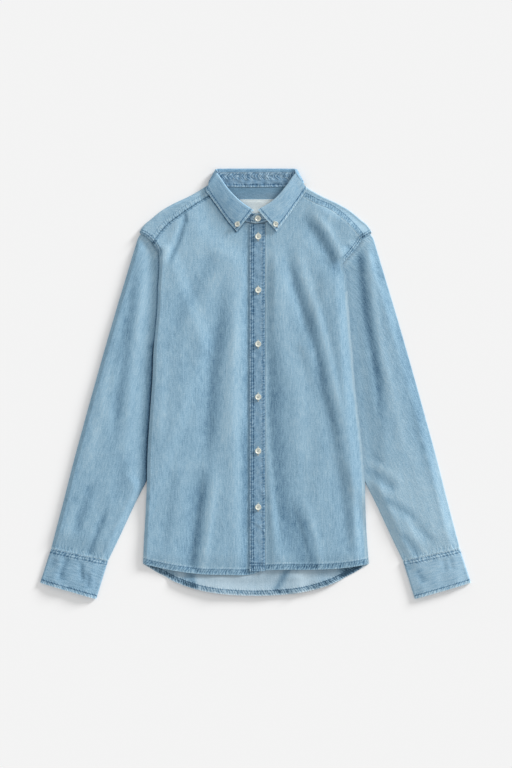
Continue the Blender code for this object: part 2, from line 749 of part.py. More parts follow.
def make_collar(leaf, stand, collection):
    cloth("collar_leaf", leaf.transpose(1, 0, 2), LEAF_CLOTH, "denim_seamed", collection)
    cloth("collar_stand", stand[::-1].transpose(1, 0, 2), STAND_CLOTH, "denim_seamed", collection)


def make_label(collection):
    bottom = CLOTH + LAYER_GAP
    grid = []
    for y in np.linspace(LABEL_BOTTOM, LABEL_TOP, 3):
        grid.append([(x, y, bottom + LABEL_CLOTH) for x in np.linspace(LABEL_LEFT, LABEL_RIGHT, 4)])
    return cloth("neck_label", grid, LABEL_CLOTH, "label_cotton", collection)


def make_button(name, spot, normal, collection):
    """A dished button turned from half its section, top to bottom at +X."""
    profile = (
        (0.0, BUTTON_HEIGHT * 0.72),
        (BUTTON_RADIUS * 0.62, BUTTON_HEIGHT * 0.72),
        (BUTTON_RADIUS * 0.80, BUTTON_HEIGHT),
        (BUTTON_RADIUS, BUTTON_HEIGHT * 0.70),
        (BUTTON_RADIUS * 0.94, BUTTON_HEIGHT * 0.12),
        (BUTTON_RADIUS * 0.78, 0.0),
        (0.0, 0.0),
    )
    mesh = bpy.data.meshes.new(name)
    vertices = [(r * MM, 0.0, h * MM) for r, h in profile]
    mesh.from_pydata(vertices, [(i, i + 1) for i in range(len(profile) - 1)], [])
    obj = bpy.data.objects.new(name, mesh)
    turned = obj.modifiers.new("turned", "SCREW")
    turned.steps = BUTTON_STEPS
    turned.render_steps = BUTTON_STEPS
    turned.use_merge_vertices = True
    turned.merge_threshold = 0.00001
    tilt_x, tilt_y = -math.asin(normal[1]), math.asin(normal[0])
    obj.rotation_euler = (tilt_x, tilt_y, 0.0)
    obj.location = [value * MM for value in np.asarray(spot) + np.asarray(normal) * BUTTON_LIFT]
    return finish(obj, collection, "button_resin")


def surface_at(grid, along, down):
    """A point on a grid of outer points and its normal there."""
    grid = np.asarray(grid)
    i = min(int(along), grid.shape[0] - 2)
    j = min(int(down), grid.shape[1] - 2)
    s, t = along - i, down - j
    low = mix(grid[i, j], grid[i + 1, j], s)
    high = mix(grid[i, j + 1], grid[i + 1, j + 1], s)
    normal = np.cross(grid[i + 1, j] - grid[i, j], grid[i, j + 1] - grid[i, j])
    normal = normal / np.linalg.norm(normal)
    return mix(low, high, t), normal * np.sign(normal[2])


def make_buttons(leaf, stand, collection):
    up = (0.0, 0.0, 1.0)
    for number, y in enumerate(BUTTON_Y, start=1):
        make_button(f"button_front_{number}", (BUTTON_X, y, BAND_TOP_Z), up, collection)
    last = len(leaf) - 1
    down = ROLL_CELLS + 1 + LEAF_CELLS * TIP_BUTTON_DOWN
    for side, along in (("right", 1 - TIP_BUTTON_ALONG), ("left", last - 1 + TIP_BUTTON_ALONG)):
        spot, normal = surface_at(leaf, along, down)
        make_button(f"button_collar_{side}", spot, normal, collection)
    spot, normal = surface_at(stand, len(stand) - STAND_BUTTON_BACK, STAND_CELLS / 2)
    make_button("button_stand", spot + normal * STAND_CLOTH, normal, collection)


def main():
    for obj in list(bpy.data.objects):
        bpy.data.objects.remove(obj, do_unlink=True)
    collection = bpy.data.collections.new("denim_shirt")
    bpy.context.scene.collection.children.link(collection)
    make_back(collection)
    make_yoke(collection)
    make_front("front_right", "left", UNDERLAP_RIGHT, underlap_top, collection)
    make_front("front_left", "right", BAND_RIGHT + SEAM_GAP, front_top, collection)
    make_band(collection)
    make_sleeve("sleeve_right", "left", collection)
    make_sleeve("sleeve_left", "right", collection)
    make_cuff("cuff_right", "left", collection)
    make_cuff("cuff_left", "right", collection)
    leaf, stand = collar_grids()
    make_collar(leaf, stand, collection)
    make_label(collection)
    make_buttons(leaf, stand, collection)


main()
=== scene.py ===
import math

import bpy
import numpy as np
from mathutils import Matrix, Vector
from mathutils.bvhtree import BVHTree


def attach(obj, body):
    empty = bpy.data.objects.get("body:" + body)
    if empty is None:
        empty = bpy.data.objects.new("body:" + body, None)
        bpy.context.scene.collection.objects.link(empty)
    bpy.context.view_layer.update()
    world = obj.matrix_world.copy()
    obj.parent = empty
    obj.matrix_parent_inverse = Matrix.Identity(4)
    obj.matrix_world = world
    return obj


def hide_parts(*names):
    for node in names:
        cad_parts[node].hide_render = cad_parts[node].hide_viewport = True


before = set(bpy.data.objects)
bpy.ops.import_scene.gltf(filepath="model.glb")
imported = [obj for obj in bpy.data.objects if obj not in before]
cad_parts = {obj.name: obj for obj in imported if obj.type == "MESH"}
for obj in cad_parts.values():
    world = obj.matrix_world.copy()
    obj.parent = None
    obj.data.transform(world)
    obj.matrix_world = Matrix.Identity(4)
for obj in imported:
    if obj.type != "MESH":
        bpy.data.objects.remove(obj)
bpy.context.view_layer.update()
print("frame loaded,", len(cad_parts), "pieces")

mm = 0.001
seamGap = 0.5
noRow = -50  # stands for a stitch row that a seam doesn't have
# sides as seen from above, with the sign of their x; the wearer's own are the other way round
signOf = {"left": -1, "right": 1}


# numbers

# values between knots, on a smooth curve through them
def smoothAt(knots, values, at):
    slopes = np.gradient(values, knots, axis=0)
    low = np.clip(np.searchsorted(knots, at) - 1, 0, len(knots) - 2)
    spread = (...,) + (None,) * (values.ndim - 1)
    span = (knots[low + 1] - knots[low])[spread]
    t = ((at - knots[low]) / (knots[low + 1] - knots[low]))[spread]
    return (values[low] * (1 + 2 * t) * (1 - t) ** 2 + values[low + 1] * t * t * (3 - 2 * t)
            + span * t * (1 - t) * (slopes[low] * (1 - t) - slopes[low + 1] * t))


# a table's column at any value of its key
def readCurve(table, column, at, key="y"):
    knots = np.array(table[key], float)
    at = np.clip(np.asarray(at, float), knots[0], knots[-1])
    return smoothAt(knots, np.array(table[column], float), at)


def ease(low, high, at):
    t = np.clip((np.asarray(at, float) - low) / (high - low), 0, 1)
    return t * t * (3 - 2 * t)


def mix(a, b, t):
    return a + (b - a) * t


# a smooth uneven waviness, mostly from -1 to 1, with bumps of about the given sizes in mm
def ripple(x, y, sizeX, sizeY, seed):
    chance = np.random.default_rng(seed)
    total = np.zeros(np.broadcast(x, y).shape)
    for _ in range(11):  # waves, each with a heading of its own
        turn = chance.uniform(0, 2 * math.pi)
        pitch = chance.uniform(1.5, 3.2)
        start = chance.uniform(0, 2 * math.pi)
        run = x * math.cos(turn) / sizeX + y * math.sin(turn) / sizeY
        total = total + np.sin(2 * math.pi * run / pitch + start)
    return np.clip(total / 4, -1.2, 1.2)


# thin ridges like those of cloth that has been crumpled, 0 to 1
def creases(x, y, sizeX, sizeY, seed):
    return np.clip(1 - np.abs(ripple(x, y, sizeX, sizeY, seed)) * 3.4, 0, 1) ** 1.5


# 1 at no distance, and near 0 at twice the half width
def bell(distance, wide):
    return np.exp(-((distance / wide) ** 2))


# corners cut twice, the ends kept
def smoothLine(points):
    for _ in range(2):
        cut = [points[0]]
        for (x0, y0), (x1, y1) in zip(points[:-1], points[1:]):
            cut += [(mix(x0, x1, share), mix(y0, y1, share)) for share in (0.25, 0.75)]
        points = cut + [points[-1]]
    return points


# how far along a line each spot is, how far aside (to its right for a line that runs down), and its length
def lineCoords(line, x, y):
    best = np.full(x.shape, 1e9)
    along = np.zeros(x.shape)
    aside = np.zeros(x.shape)
    travelled = 0.0
    for (x0, y0), (x1, y1) in zip(line[:-1], line[1:]):
        dx, dy = x1 - x0, y1 - y0
        length = math.hypot(dx, dy)
        if length < 1e-6:
            continue
        share = np.clip(((x - x0) * dx + (y - y0) * dy) / length**2, 0, 1)
        offX, offY = x - x0 - share * dx, y - y0 - share * dy
        distance = np.hypot(offX, offY)
        closer = distance < best
        best = np.where(closer, distance, best)
        along = np.where(closer, travelled + share * length, along)
        aside = np.where(closer, np.where(dx * offY - dy * offX >= 0, distance, -distance), aside)
        travelled += length
    return along, aside, travelled


# what folds do to a surface: its height in mm, and its tone: painted shade along a trough, and on a
# ridge a paler tone, partly wear and partly painted highlight. A trough's floor lies a little to the left
# of its line, the middle of its shaded right wall
def foldRelief(folds, x, y, right=1):
    height = np.zeros(x.shape)
    tone = np.zeros(x.shape)
    for fold in folds:
        along, aside, length = lineCoords(smoothLine(fold["line"]), x, y)
        fadeIn, fadeOut = fold.get("fade", (0.22, 0.3))
        fading = ease((1 - fadeOut) * length, length, along)
        strength = ease(-0.02 * length, fadeIn * length, along) * (1 - fading)
        low, high = fold["wide"]
        floor = aside + right * 0.25 * (low + high)
        height -= fold["deep"] * strength * bell(floor, np.where(floor < 0, low, high))
        # painted shade along the trough's line
        tone -= fold["tone"] * strength * bell(aside, np.where(aside < 0, low, high))
        if "ridge" in fold:
            high, offset, broad = fold["ridge"]
            ridge = strength * bell(aside - offset, broad)
            height += high * ridge
            # paler on the ridge: wear and a painted highlight
            tone += 0.16 * high * ridge
    return height, tone


# the body, as its solids have it

body = {
    "rimTop": 2.7,  # where a front's edge rests on the back
    "rimWide": (5.0, 26.0),  # on the left and on the right
    "bandWide": (48.0, 34.0),
    "puff": 5.2,  # how far the fronts stand up over their rims
    "relief": 0.92,
    "tuckLift": 3.0,
    "tuckSlope": (14.0, 44.0),
    "collarX": 1.3,  # the collar's middle
    "placketX": 3.5,  # the placket's middle
    "hemCornerY": -337.0,  # where the side edges end
    "backSeamY": 263.0,
    "cornerY": {"left": 250.0, "right": 229.0},
    "cornerFade": {"left": 38.0, "right": 44.0},
}
sideEdge = {
    "y": (-337, -293, -233, -183, -134, -53, 11, 73, 101, 139, 177, 203, 229, 242, 250, 258, 264, 271, 277,
          283),
    "left": (-211.5, -209.6, -206, -204, -203, -198, -193.5, -190.8, -188, -184.5, -183.3, -181.5, -180.5,
             -180.8, -181.5, -188, -193.5, -201, -207.7, -218.5),
    "right": (213, 209.6, 206.5, 205.5, 202.3, 193.3, 186.5, 181.7, 179, 176.2, 173, 171, 165.3, 180.3, 186,
              191, 196, 201, 211, 219.5),
}
tuckEdge = {
    "y": (-333, -183, 70, 125, 182, 228, 252, 262),
    "left": (277, 205, 118, 137, 160, 176, 187, 192),
    "right": (277, 205, 118, 134, 150, 165, 180, 190),
}
shoulder = {
    "x": (88, 97, 123, 155, 180, 198, 208, 215, 219),
    "y": (374, 368, 353, 338, 323, 308, 300, 291, 283),
}
yokeSeam = {
    "x": (80, 92, 112, 142, 166, 190, 201),
    "left": (357.5, 350.4, 338, 317.5, 299, 270.5, 256),
    "right": (357.5, 350.4, 340, 327, 308.5, 284, 271),
}
frontHem = {
    "x": (0, 12, 20, 45, 104, 150, 185, 213),
    "left": (-356, -358.5, -359.3, -359, -357.4, -351.5, -344.5, -337.5),
    "right": (-350.5, -350.5, -350.3, -349.4, -349.2, -347.5, -343.5, -338.5),
}
backHem = {
    "x": (0, 45, 89, 120, 142, 159, 172, 187, 199, 213),
    "y": (-398.4, -396.5, -391.2, -383.7, -376.2, -368.7, -361.2, -353.6, -346.1, -338),
}

# the folds of the two fronts, from their upper end: half widths to the left and right, depth,
# and a ridge's height, distance to the right and half width; and how much painted shade lies in the trough
bodyFolds = [
    # wearer's right front
    {"line": [(-132, 322), (-130, 310), (-131, 300)], "wide": (5, 4), "deep": 1.6, "tone": 0.6},
    {"line": [(-129, 312), (-136, 290), (-142, 270), (-154, 245), (-167, 214)], "wide": (7, 5), "deep": 2.2,
     "ridge": (1.2, -14, 8), "tone": 0.5, "fade": (0.15, 0.3)},
    {"line": [(-64, 262), (-78, 234), (-92, 214), (-117, 176), (-136, 139), (-148, 101), (-152, 70)],
     "wide": (16, 15), "deep": 1.9, "ridge": (0.8, 26, 14), "tone": 0.26},
    {"line": [(-57, 222), (-57, 158), (-64, 114), (-70, 70), (-78, 14), (-80, -43), (-82, -87), (-87, -130),
              (-93, -174)],
     "wide": (17, 14), "deep": 3.2, "ridge": (1.5, 28, 14), "tone": 0.5, "fade": (0.35, 0.25)},
    {"line": [(-90, -150), (-97, -196), (-101, -218), (-106, -262), (-111, -300), (-118, -350)],
     "wide": (19, 9), "deep": 3.6, "ridge": (1.9, 18, 9), "tone": 0.62, "fade": (0.3, 0.02)},
    {"line": [(-36, 200), (-32, 60), (-34, -100), (-42, -330)], "wide": (15, 13), "deep": -1.0, "tone": -0.12},
    {"line": [(-166, 262), (-168, 240), (-171, 222)], "wide": (8, 7), "deep": -0.7, "tone": -0.2},
    {"line": [(-172, 90), (-170, 20), (-176, -60), (-182, -150)], "wide": (13, 9), "deep": -1.0, "tone": -0.1},
    {"line": [(-150, -160), (-158, -220), (-166, -290), (-172, -335)], "wide": (12, 10), "deep": 1.1,
     "tone": 0.15},
    {"line": [(-24, -60), (-20, -150), (-18, -250), (-22, -330)], "wide": (7, 7), "deep": 1.1, "tone": 0.25},
    # wearer's left front
    {"line": [(86, 324), (100, 306), (115, 292), (134, 261), (146, 236), (157, 208), (166, 186)],
     "wide": (17, 9), "deep": 3.4, "ridge": (1.6, 15, 8), "tone": 0.65, "fade": (0.12, 0.3)},
    {"line": [(56, 290), (61, 262), (68, 220), (84, 164), (101, 120), (114, 76), (124, 26), (132, -18),
              (146, -68), (157, -112), (162, -168)],
     "wide": (12, 9), "deep": 2.9, "ridge": (1.5, 17, 9), "tone": 0.5, "fade": (0.25, 0.3)},
    {"line": [(158, -130), (162, -168), (171, -231), (178, -293), (181, -335)], "wide": (14, 9), "deep": 1.8,
     "ridge": (1.0, 15, 7), "tone": 0.2},
    {"line": [(24, 118), (28, 85), (32, 39), (33, -11), (33, -68), (38, -130), (42, -175), (47, -225),
              (56, -281), (64, -345)],
     "wide": (9, 20), "deep": 3.2, "tone": 0.5, "fade": (0.28, 0.25)},
    {"line": [(23, -20), (24, -100), (26, -180), (31, -260), (36, -330)], "wide": (5, 5), "deep": -0.8,
     "tone": -0.15},
    {"line": [(170, 204), (176, 210), (184, 219)], "wide": (4, 4), "deep": 1.6, "tone": 0.6},
    {"line": [(172, 264), (176, 257), (182, 249)], "wide": (5, 4), "deep": 1.4, "tone": 0.5},
    {"line": [(48, 232), (50, 150), (58, 60), (64, -20)], "wide": (14, 15), "deep": -1.2, "tone": -0.15},
    {"line": [(78, 60), (86, -30), (92, -120), (94, -200)], "wide": (18, 18), "deep": -1.2, "tone": -0.15},
    {"line": [(68, -205), (86, -250), (100, -295), (110, -350)], "wide": (34, 9), "deep": 2.0,
     "ridge": (0.9, 14, 7), "tone": 0.5, "fade": (0.4, 0.02)},
    {"line": [(172, 180), (168, 120), (172, 40), (180, -40), (188, -110)], "wide": (9, 7), "deep": -0.5,
     "tone": -0.1},
    {"line": [(118, 215), (124, 165), (136, 110), (150, 50), (160, -20)], "wide": (10, 9), "deep": 1.0,
     "tone": 0.1},
]


def liftOverSleeve(x, y, fades):
    lift = np.zeros(np.broadcast(x, y).shape)
    for side, sign in signOf.items():
        beyond = np.interp(y, tuckEdge["y"], tuckEdge[side]) - sign * x
        corner = body["cornerY"][side] + 2.0
        held = 1 - ease(corner, corner + fades[side], y)
        lift = np.maximum(lift, body["tuckLift"] * held * (1 - ease(*body["tuckSlope"], beyond)))
    return lift


def insideOutline(x, y):
    fromLeft = x - readCurve(sideEdge, "left", y)
    fromRight = readCurve(sideEdge, "right", y) - x
    fromShoulder = (readCurve(shoulder, "y", np.abs(x), key="x") - y) * 0.85
    return np.minimum(np.minimum(fromLeft, fromRight), fromShoulder)


# height and tone of the fronts and of the yoke's front
def bodyTop(x, y):
    neck = mix(0.2, 1.0, ease(92, 135, np.hypot(x - body["collarX"], y - 352.0)))
    hem = mix(0.5, 1.0, ease(-352, -318, y))
    rim = ease(0, 1, insideOutline(x, y) / mix(*body["rimWide"], ease(-60, 60, x)))
    fromMiddle = x - body["placketX"]
    band = mix(0.3, 1.0, ease(14.0, np.where(fromMiddle < 0, *body["bandWide"]), np.abs(fromMiddle)))
    crumple = creases(x, y, 18, 60, 12)
    height, tone = foldRelief(bodyFolds, x, y)
    height = body["relief"] * height + 0.2 * ripple(x, y, 16, 46, 4) + 0.4 * ripple(x, y, 34, 70, 7)
    height = height + 0.22 * crumple
    swell = (body["puff"] + height) * rim * hem * band
    tone = tone * mix(0.35, 1, neck) + 0.05 * ripple(x, y, 9, 40, 9) + 0.06 * crumple
    top = body["rimTop"] + 0.4 + liftOverSleeve(x, y, body["cornerFade"]) + neck * np.maximum(swell - 0.4, 0)
    return top, tone


# where the sleeves lie

sleeve = {
    "cloth": 1.2,
    "swell": 6.0,
    "relief": {"left": 0.5, "right": 0.58},
    "ledge": 0.3,
    "tuckUnder": 6.0,  # how far its end runs on under the body
    "edgeRound": {"left": 8.0, "right": 20.0},  # how far in from the outer fold the top is reached
    "tuckRound": 38.0,
    "innerRound": {"left": 16.0, "right": 24.0},
    "leavesBodyY": -183.0,
    "armholeInward": (-0.902, 0.432),
    "bowReach": 0.12,
    "turnRadius": 1.6,
    "cells": (62, 9, 240),  # over, under and along
    # painted shading beside the body: on the left a broad painted shadow and a thin painted line of shade, on
    # the right a thin painted highlight
    "paintedShadingBesideBody": {"left": (-0.9, -1.1), "right": (0.0, 0.4)},  # beside the body: a broad and a thin one
}
sleeveOuter = {
    "y": (-309.3, -218, -143, -75, 7, 83, 150, 225, 271, 283),
    "x": (384, 360, 341, 322.5, 299.8, 278.2, 258.5, 236, 222.8, 219.5),
}
sleeveInner = {
    "y": (-332.8, -294, -218, -183, -60, 70),
    "x": (277.3, 258.5, 222.8, 205, 159, 118),
}
armholeBow = {
    "w": (0, 0.04, 0.08, 0.12, 0.18, 0.23, 0.31, 0.5, 0.75, 1),
    "left": (0, 8, 12.5, 15.3, 16.3, 15.5, 13, 8, 3, 0),
    "right": (0, 6, 12, 13.2, 15.8, 18.5, 24.3, 20, 9, 0),
}
# x counts out from the axis here, so the right of a line that runs down is its outer side on the
# wearer's left sleeve and its inner side, turned over, on the other
sleeveFolds = {
    "left": [
        {"line": [(212, 272), (223, 205), (233, 148), (239, 92), (245, 35), (255, -27), (261, -77),
                  (267, -134), (270, -160)],
         "wide": (9, 10), "deep": 2.5, "ridge": (0.8, -17, 8), "tone": 0.4, "fade": (0.4, 0.28)},
        {"line": [(204, 256), (208, 190), (216, 110), (222, 50)], "wide": (7, 7), "deep": -1.2, "tone": -0.2},
        {"line": [(264, 60), (276, 0), (296, -80), (312, -135), (330, -182)], "wide": (10, 10), "deep": -1.4,
         "tone": -0.3},
        {"line": [(299, -178), (314, -214), (329, -258), (341, -296)], "wide": (9, 10), "deep": 2.0,
         "tone": 0.4},
        {"line": [(273, -232), (288, -258), (300, -290), (314, -326)], "wide": (6, 6), "deep": 2.2,
         "ridge": (0.8, -11, 6), "tone": 0.6, "fade": (0.3, 0.1)},
        {"line": [(236, -120), (252, -180), (262, -230)], "wide": (12, 12), "deep": 1.4, "tone": 0.25},
        {"line": [(240, 130), (252, 80), (268, 20), (284, -40)], "wide": (6, 6), "deep": 1.2, "tone": 0.22},
        {"line": [(336, -230), (352, -270), (366, -310)], "wide": (8, 8), "deep": -1.0, "tone": -0.2},
    ],
    "right": [
        {"line": [(195, 262), (197, 230), (200, 205), (207, 142), (220, 67), (230, 17), (234, -27),
                  (236, -77), (243, -118)],
         "wide": (9, 9), "deep": 3.8, "ridge": (1.7, 16, 8), "tone": 0.75, "fade": (0.08, 0.4)},
        {"line": [(246, 60), (259, 0), (275, -95), (286, -152)], "wide": (10, 9), "deep": -1.4, "tone": -0.2},
        {"line": [(222, 262), (229, 222), (239, 176)], "wide": (6, 6), "deep": 1.6, "tone": 0.25},
        {"line": [(258, 150), (262, 136), (287, 23), (303, -52), (319, -140), (350, -234), (356, -280)],
         "wide": (14, 12), "deep": 1.8, "ridge": (0.7, 20, 9), "tone": 0.24},
        {"line": [(213, -128), (226, -138), (243, -150)], "wide": (8, 8), "deep": 2.0, "tone": 0.4},
        {"line": [(205, -154), (226, -171), (250, -186), (272, -202)], "wide": (9, 9), "deep": 2.4,
         "ridge": (0.9, 15, 8), "tone": 0.5},
        {"line": [(234, -219), (265, -228), (302, -252)], "wide": (9, 9), "deep": 2.0, "tone": 0.4},
        {"line": [(289, -234), (303, -262), (324, -285), (346, -306)], "wide": (9, 9), "deep": 2.0,
         "tone": 0.35},
        {"line": [(269, -274), (285, -291), (299, -310), (311, -328)], "wide": (8, 7), "deep": 2.2,
         "ridge": (0.9, 13, 7), "tone": 0.5, "fade": (0.3, 0.1)},
    ],
}


def sleevePlan(side, along, across):
    outerY = mix(sleeveOuter["y"][-1], sleeveOuter["y"][0], along)
    innerY = mix(sleeveInner["y"][-1], sleeveInner["y"][0], along)
    x = mix(readCurve(sleeveOuter, "x", outerY), readCurve(sleeveInner, "x", innerY), across)
    y = mix(outerY, innerY, across)
    bow = readCurve(armholeBow, side, across, key="w") * np.clip(1 - along / sleeve["bowReach"], 0, 1) ** 1.5
    return x + sleeve["armholeInward"][0] * bow, y + sleeve["armholeInward"][1] * bow


def sleeveTop(side, x, y):
    out = np.abs(x)
    fromOuter = readCurve(sleeveOuter, "x", y) - out
    edge = np.abs(readCurve(sideEdge, side, y))
    inner = readCurve(sleeveInner, "x", np.minimum(y, sleeve["leavesBodyY"]))
    beside = ease(-22.0, 22.0, y - sleeve["leavesBodyY"])
    limit = mix(inner, edge + 8.0, beside)
    tuck = mix(sleeve["innerRound"][side], sleeve["tuckRound"], beside)
    reach = (out - limit) / tuck
    ledge = sleeve["ledge"] * beside  # beside the body it starts a little way up
    crown = ease(-2.0, sleeve["edgeRound"][side], fromOuter)
    crown = crown * mix(ledge * ease(-0.5, 0, reach), 1, ease(0, 1, reach))
    height, tone = foldRelief(sleeveFolds[side], out, y, signOf[side])
    seed = {"left": 20, "right": 30}[side]
    crumple = creases(x, y, 20, 52, seed + 1)
    height = sleeve["relief"][side] * height + 0.3 * ripple(x, y, 18, 44, seed) + 0.2 * crumple
    tone = tone + 0.05 * ripple(x, y, 9, 38, seed + 2) + 0.06 * crumple
    cuffEnd = mix(0.55, 1.0, ease(0, 40, y + 309.3 + 0.221 * (384 - out)))
    return body["rimTop"] + np.maximum((sleeve["swell"] + height) * crown * cuffEnd, 0), tone


# seams: each line carries puckers and two rows of stitches in a band beside it

def seamField(seams, x, y):
    field = np.zeros(x.shape + (6,))
    nearest = np.full(x.shape, 1e9)
    for seam in seams:
        along, aside = lineCoords(seam["line"], x, y)[:2]
        across = np.abs(aside) / seam["band"]
        closer = across < nearest
        field[closer] = seamParts(along, np.abs(aside), seam)[closer]
        nearest = np.minimum(nearest, across)
    return field


# the puckers' phase, the distance in mm and the puckers' strength; then where two stitch rows lie and
# how deep their grooves are, which also sets the painted shade in them
def seamParts(along, distance, seam):
    across = distance / seam["band"]
    phase = along / seam.get("pucker", 5.0) + seam.get("slant", 0.5) * across
    strength = seam.get("strength", 1.0) * (1 - ease(0.8, 1.8, across))
    first, second = seam.get("rows", (noRow, noRow))
    groove = seam.get("groove", 0.75) * (1 - ease(1.7, 2.6, across))
    return np.stack([phase, distance, strength, first + 0 * across, second + 0 * across, groove], -1)


# worn edges, dark gaps and other painted shade, and painted highlights along lines: tone, and half width in mm
def lineTone(lines, x, y):
    tone = np.zeros(x.shape)
    for line in lines:
        off = np.abs(lineCoords(line["line"], x, y)[1]) - line.get("off", 0)
        tone += line["tone"] * bell(off, line["wide"])
    return tone


def lineOf(xs, ys):
    return [(float(x), float(y)) for x, y in zip(xs, ys)]


# from one share of the armhole's length to another
def armholeLine(side, start, end, count):
    shares = np.linspace(start, end, count)
    x, y = sleevePlan(side, 0.0 * shares, shares)
    return lineOf(signOf[side] * x, y)


def bodySideLine(side):
    y = np.linspace(body["hemCornerY"], body["cornerY"][side] - 2, 40)
    return lineOf(readCurve(sideEdge, side, y), y)


yoke = {
    "cloth": 1.2,
    "cells": (50, 22, 22, 44),  # across a wing, down its front and its back, and across the neck
    "edgeRadius": 1.6,
    "leafRaise": 1.9,
    "neckX": 82.4,
    "shoulderX": (89.6, 218.0),
    "frontEnd": {"left": 0.118, "right": 0.082},  # shares of the armhole's length
    "backEnd": {"left": 0.122, "right": 0.112},
}


# the yoke's columns from neck to armhole: outline, front seam and back seam
def yokeColumns(side, count):
    sign = signOf[side]
    across = np.linspace(0, 1, count + 1)
    shoulderStart, shoulderEnd = yoke["shoulderX"]
    endX, endY = sleevePlan(side, 0.0, yoke["frontEnd"][side])
    seamX = mix(yoke["neckX"], endX, across)
    seamY = readCurve(yokeSeam, side, seamX, key="x")
    seamY = seamY + (endY - seamY[-1]) * ease(0.85, 1.0, across)
    topX = mix(shoulderStart, shoulderEnd, 1 - (1 - across) ** 1.25)
    topY = readCurve(shoulder, "y", topX, key="x")
    shift = sign * body["collarX"] * (1 - across)
    backX = mix(shoulderStart, sleevePlan(side, 0.0, yoke["backEnd"][side])[0], across)
    return {
        "across": across,
        "top": np.stack([sign * topX + shift, topY], -1),
        "seam": np.stack([sign * seamX + shift, seamY], -1),
        "back": np.stack([sign * backX + shift, np.full_like(backX, body["backSeamY"])], -1),
    }


yokeSeamLine = {side: lineOf(*yokeColumns(side, 30)["seam"].T) for side in signOf}
halfHem, wholeHem = np.linspace(0, 213, 40), np.linspace(-213, 213, 80)
frontHemLine = {side: lineOf(sign * halfHem, readCurve(frontHem, side, halfHem, key="x"))
                for side, sign in signOf.items()}
backHemLine = lineOf(wholeHem, readCurve(backHem, "y", np.abs(wholeHem), key="x"))
# the collar leaf's painted shadow, a dark line along its edge on the yoke and the fronts: on the side
# that faces the light only its front edge has one
leafBorder = ((94.6, 367.4), (87.1, 353.1), (76.7, 338.6), (64.7, 321.6), (51.5, 303.8), (37.7, 286.2),
              (4.0, 326.0))
leafShade = {
    "left": {"line": [(body["collarX"] - x, y) for x, y in leafBorder], "tone": -1.6, "wide": 2.4},
    "right": {"line": [(body["collarX"] + x, y) for x, y in leafBorder[5:]], "tone": -0.8, "wide": 2.4},
}


# materials

def linear(code):
    parts = [int(code[i:i + 2], 16) / 255 for i in (1, 3, 5)]
    return [v / 12.92 if v <= 0.04045 else ((v + 0.055) / 1.055) ** 2.4 for v in parts] + [1.0]


# adds a node with its settings, what goes into it and a ramp's stops, and gives its outputs back
def addNode(tree, kind, inputs=None, stops=(), **settings):
    node = tree.nodes.new("ShaderNode" + kind)
    for name, value in settings.items():
        setattr(node, name, value)
    for name, value in (inputs or {}).items():
        if isinstance(value, bpy.types.NodeSocket):
            tree.links.new(value, node.inputs[name])
        else:
            node.inputs[name].default_value = value
    for position, colour in stops[1:-1]:
        node.color_ramp.elements.new(position).color = colour
    for end in (0, -1) if stops else ():
        node.color_ramp.elements[end].position, node.color_ramp.elements[end].color = stops[end]
    return node.outputs


# a material with uniform values on its shader's sockets
def newMaterial(name, values):
    material = bpy.data.materials.new(name)
    material.use_nodes = True
    shader = material.node_tree.nodes["Principled BSDF"]
    for socket, value in values.items():
        shader.inputs[socket].default_value = value
    return material, material.node_tree, shader


# puckers and stitch grooves of one seam: what it adds to the wear and painted shade, and to the height in mm
def seamNodes(tree, seamName, rowsName):
    seam = addNode(tree, "Attribute", attribute_name=seamName)["Vector"]
    rows = addNode(tree, "Attribute", attribute_name=rowsName)["Vector"]
    phase, distance, strength = addNode(tree, "SeparateXYZ", {0: seam})
    first, second, deep = addNode(tree, "SeparateXYZ", {0: rows})
    spot = addNode(tree, "Mapping", {"Vector": seam, "Scale": (1.0, 1 / 8.0, 0.0)})[0]
    uneven = addNode(tree, "TexNoise", {"Vector": spot, "Scale": 0.8, "Detail": 1.0})[0]
    phase = addNode(tree, "Math", {0: uneven, 1: 2.4, 2: phase}, operation="MULTIPLY_ADD")[0]
    turn = addNode(tree, "Math", {0: phase, 1: 2 * math.pi}, operation="MULTIPLY")[0]
    wave = addNode(tree, "Math", {0: turn}, operation="SINE")[0]
    pucker = addNode(tree, "Math", {0: wave, 1: strength}, operation="MULTIPLY")[0]
    wearAndShade = addNode(tree, "Math", {0: pucker, 1: 0.18}, operation="MULTIPLY")[0]
    height = addNode(tree, "Math", {0: pucker, 1: 0.30}, operation="MULTIPLY")[0]
    for row in (first, second):  # a groove 2 mm wide along each stitch row
        off = addNode(tree, "Math", {0: distance, 1: row}, operation="SUBTRACT")[0]
        off = addNode(tree, "Math", {0: off}, operation="ABSOLUTE")[0]
        groove = addNode(tree, "MapRange", {"Value": off, "From Min": 0.3, "From Max": 1.5, "To Min": 1.0,
                                            "To Max": 0.0}, interpolation_type="SMOOTHSTEP")[0]
        groove = addNode(tree, "Math", {0: groove, 1: deep}, operation="MULTIPLY")[0]
        # painted shade: the cloth is darker in the groove
        wearAndShade = addNode(tree, "Math", {0: groove, 1: -0.4, 2: wearAndShade}, operation="MULTIPLY_ADD")[0]
        height = addNode(tree, "Math", {0: groove, 1: -0.3, 2: height}, operation="MULTIPLY_ADD")[0]
    return wearAndShade, height
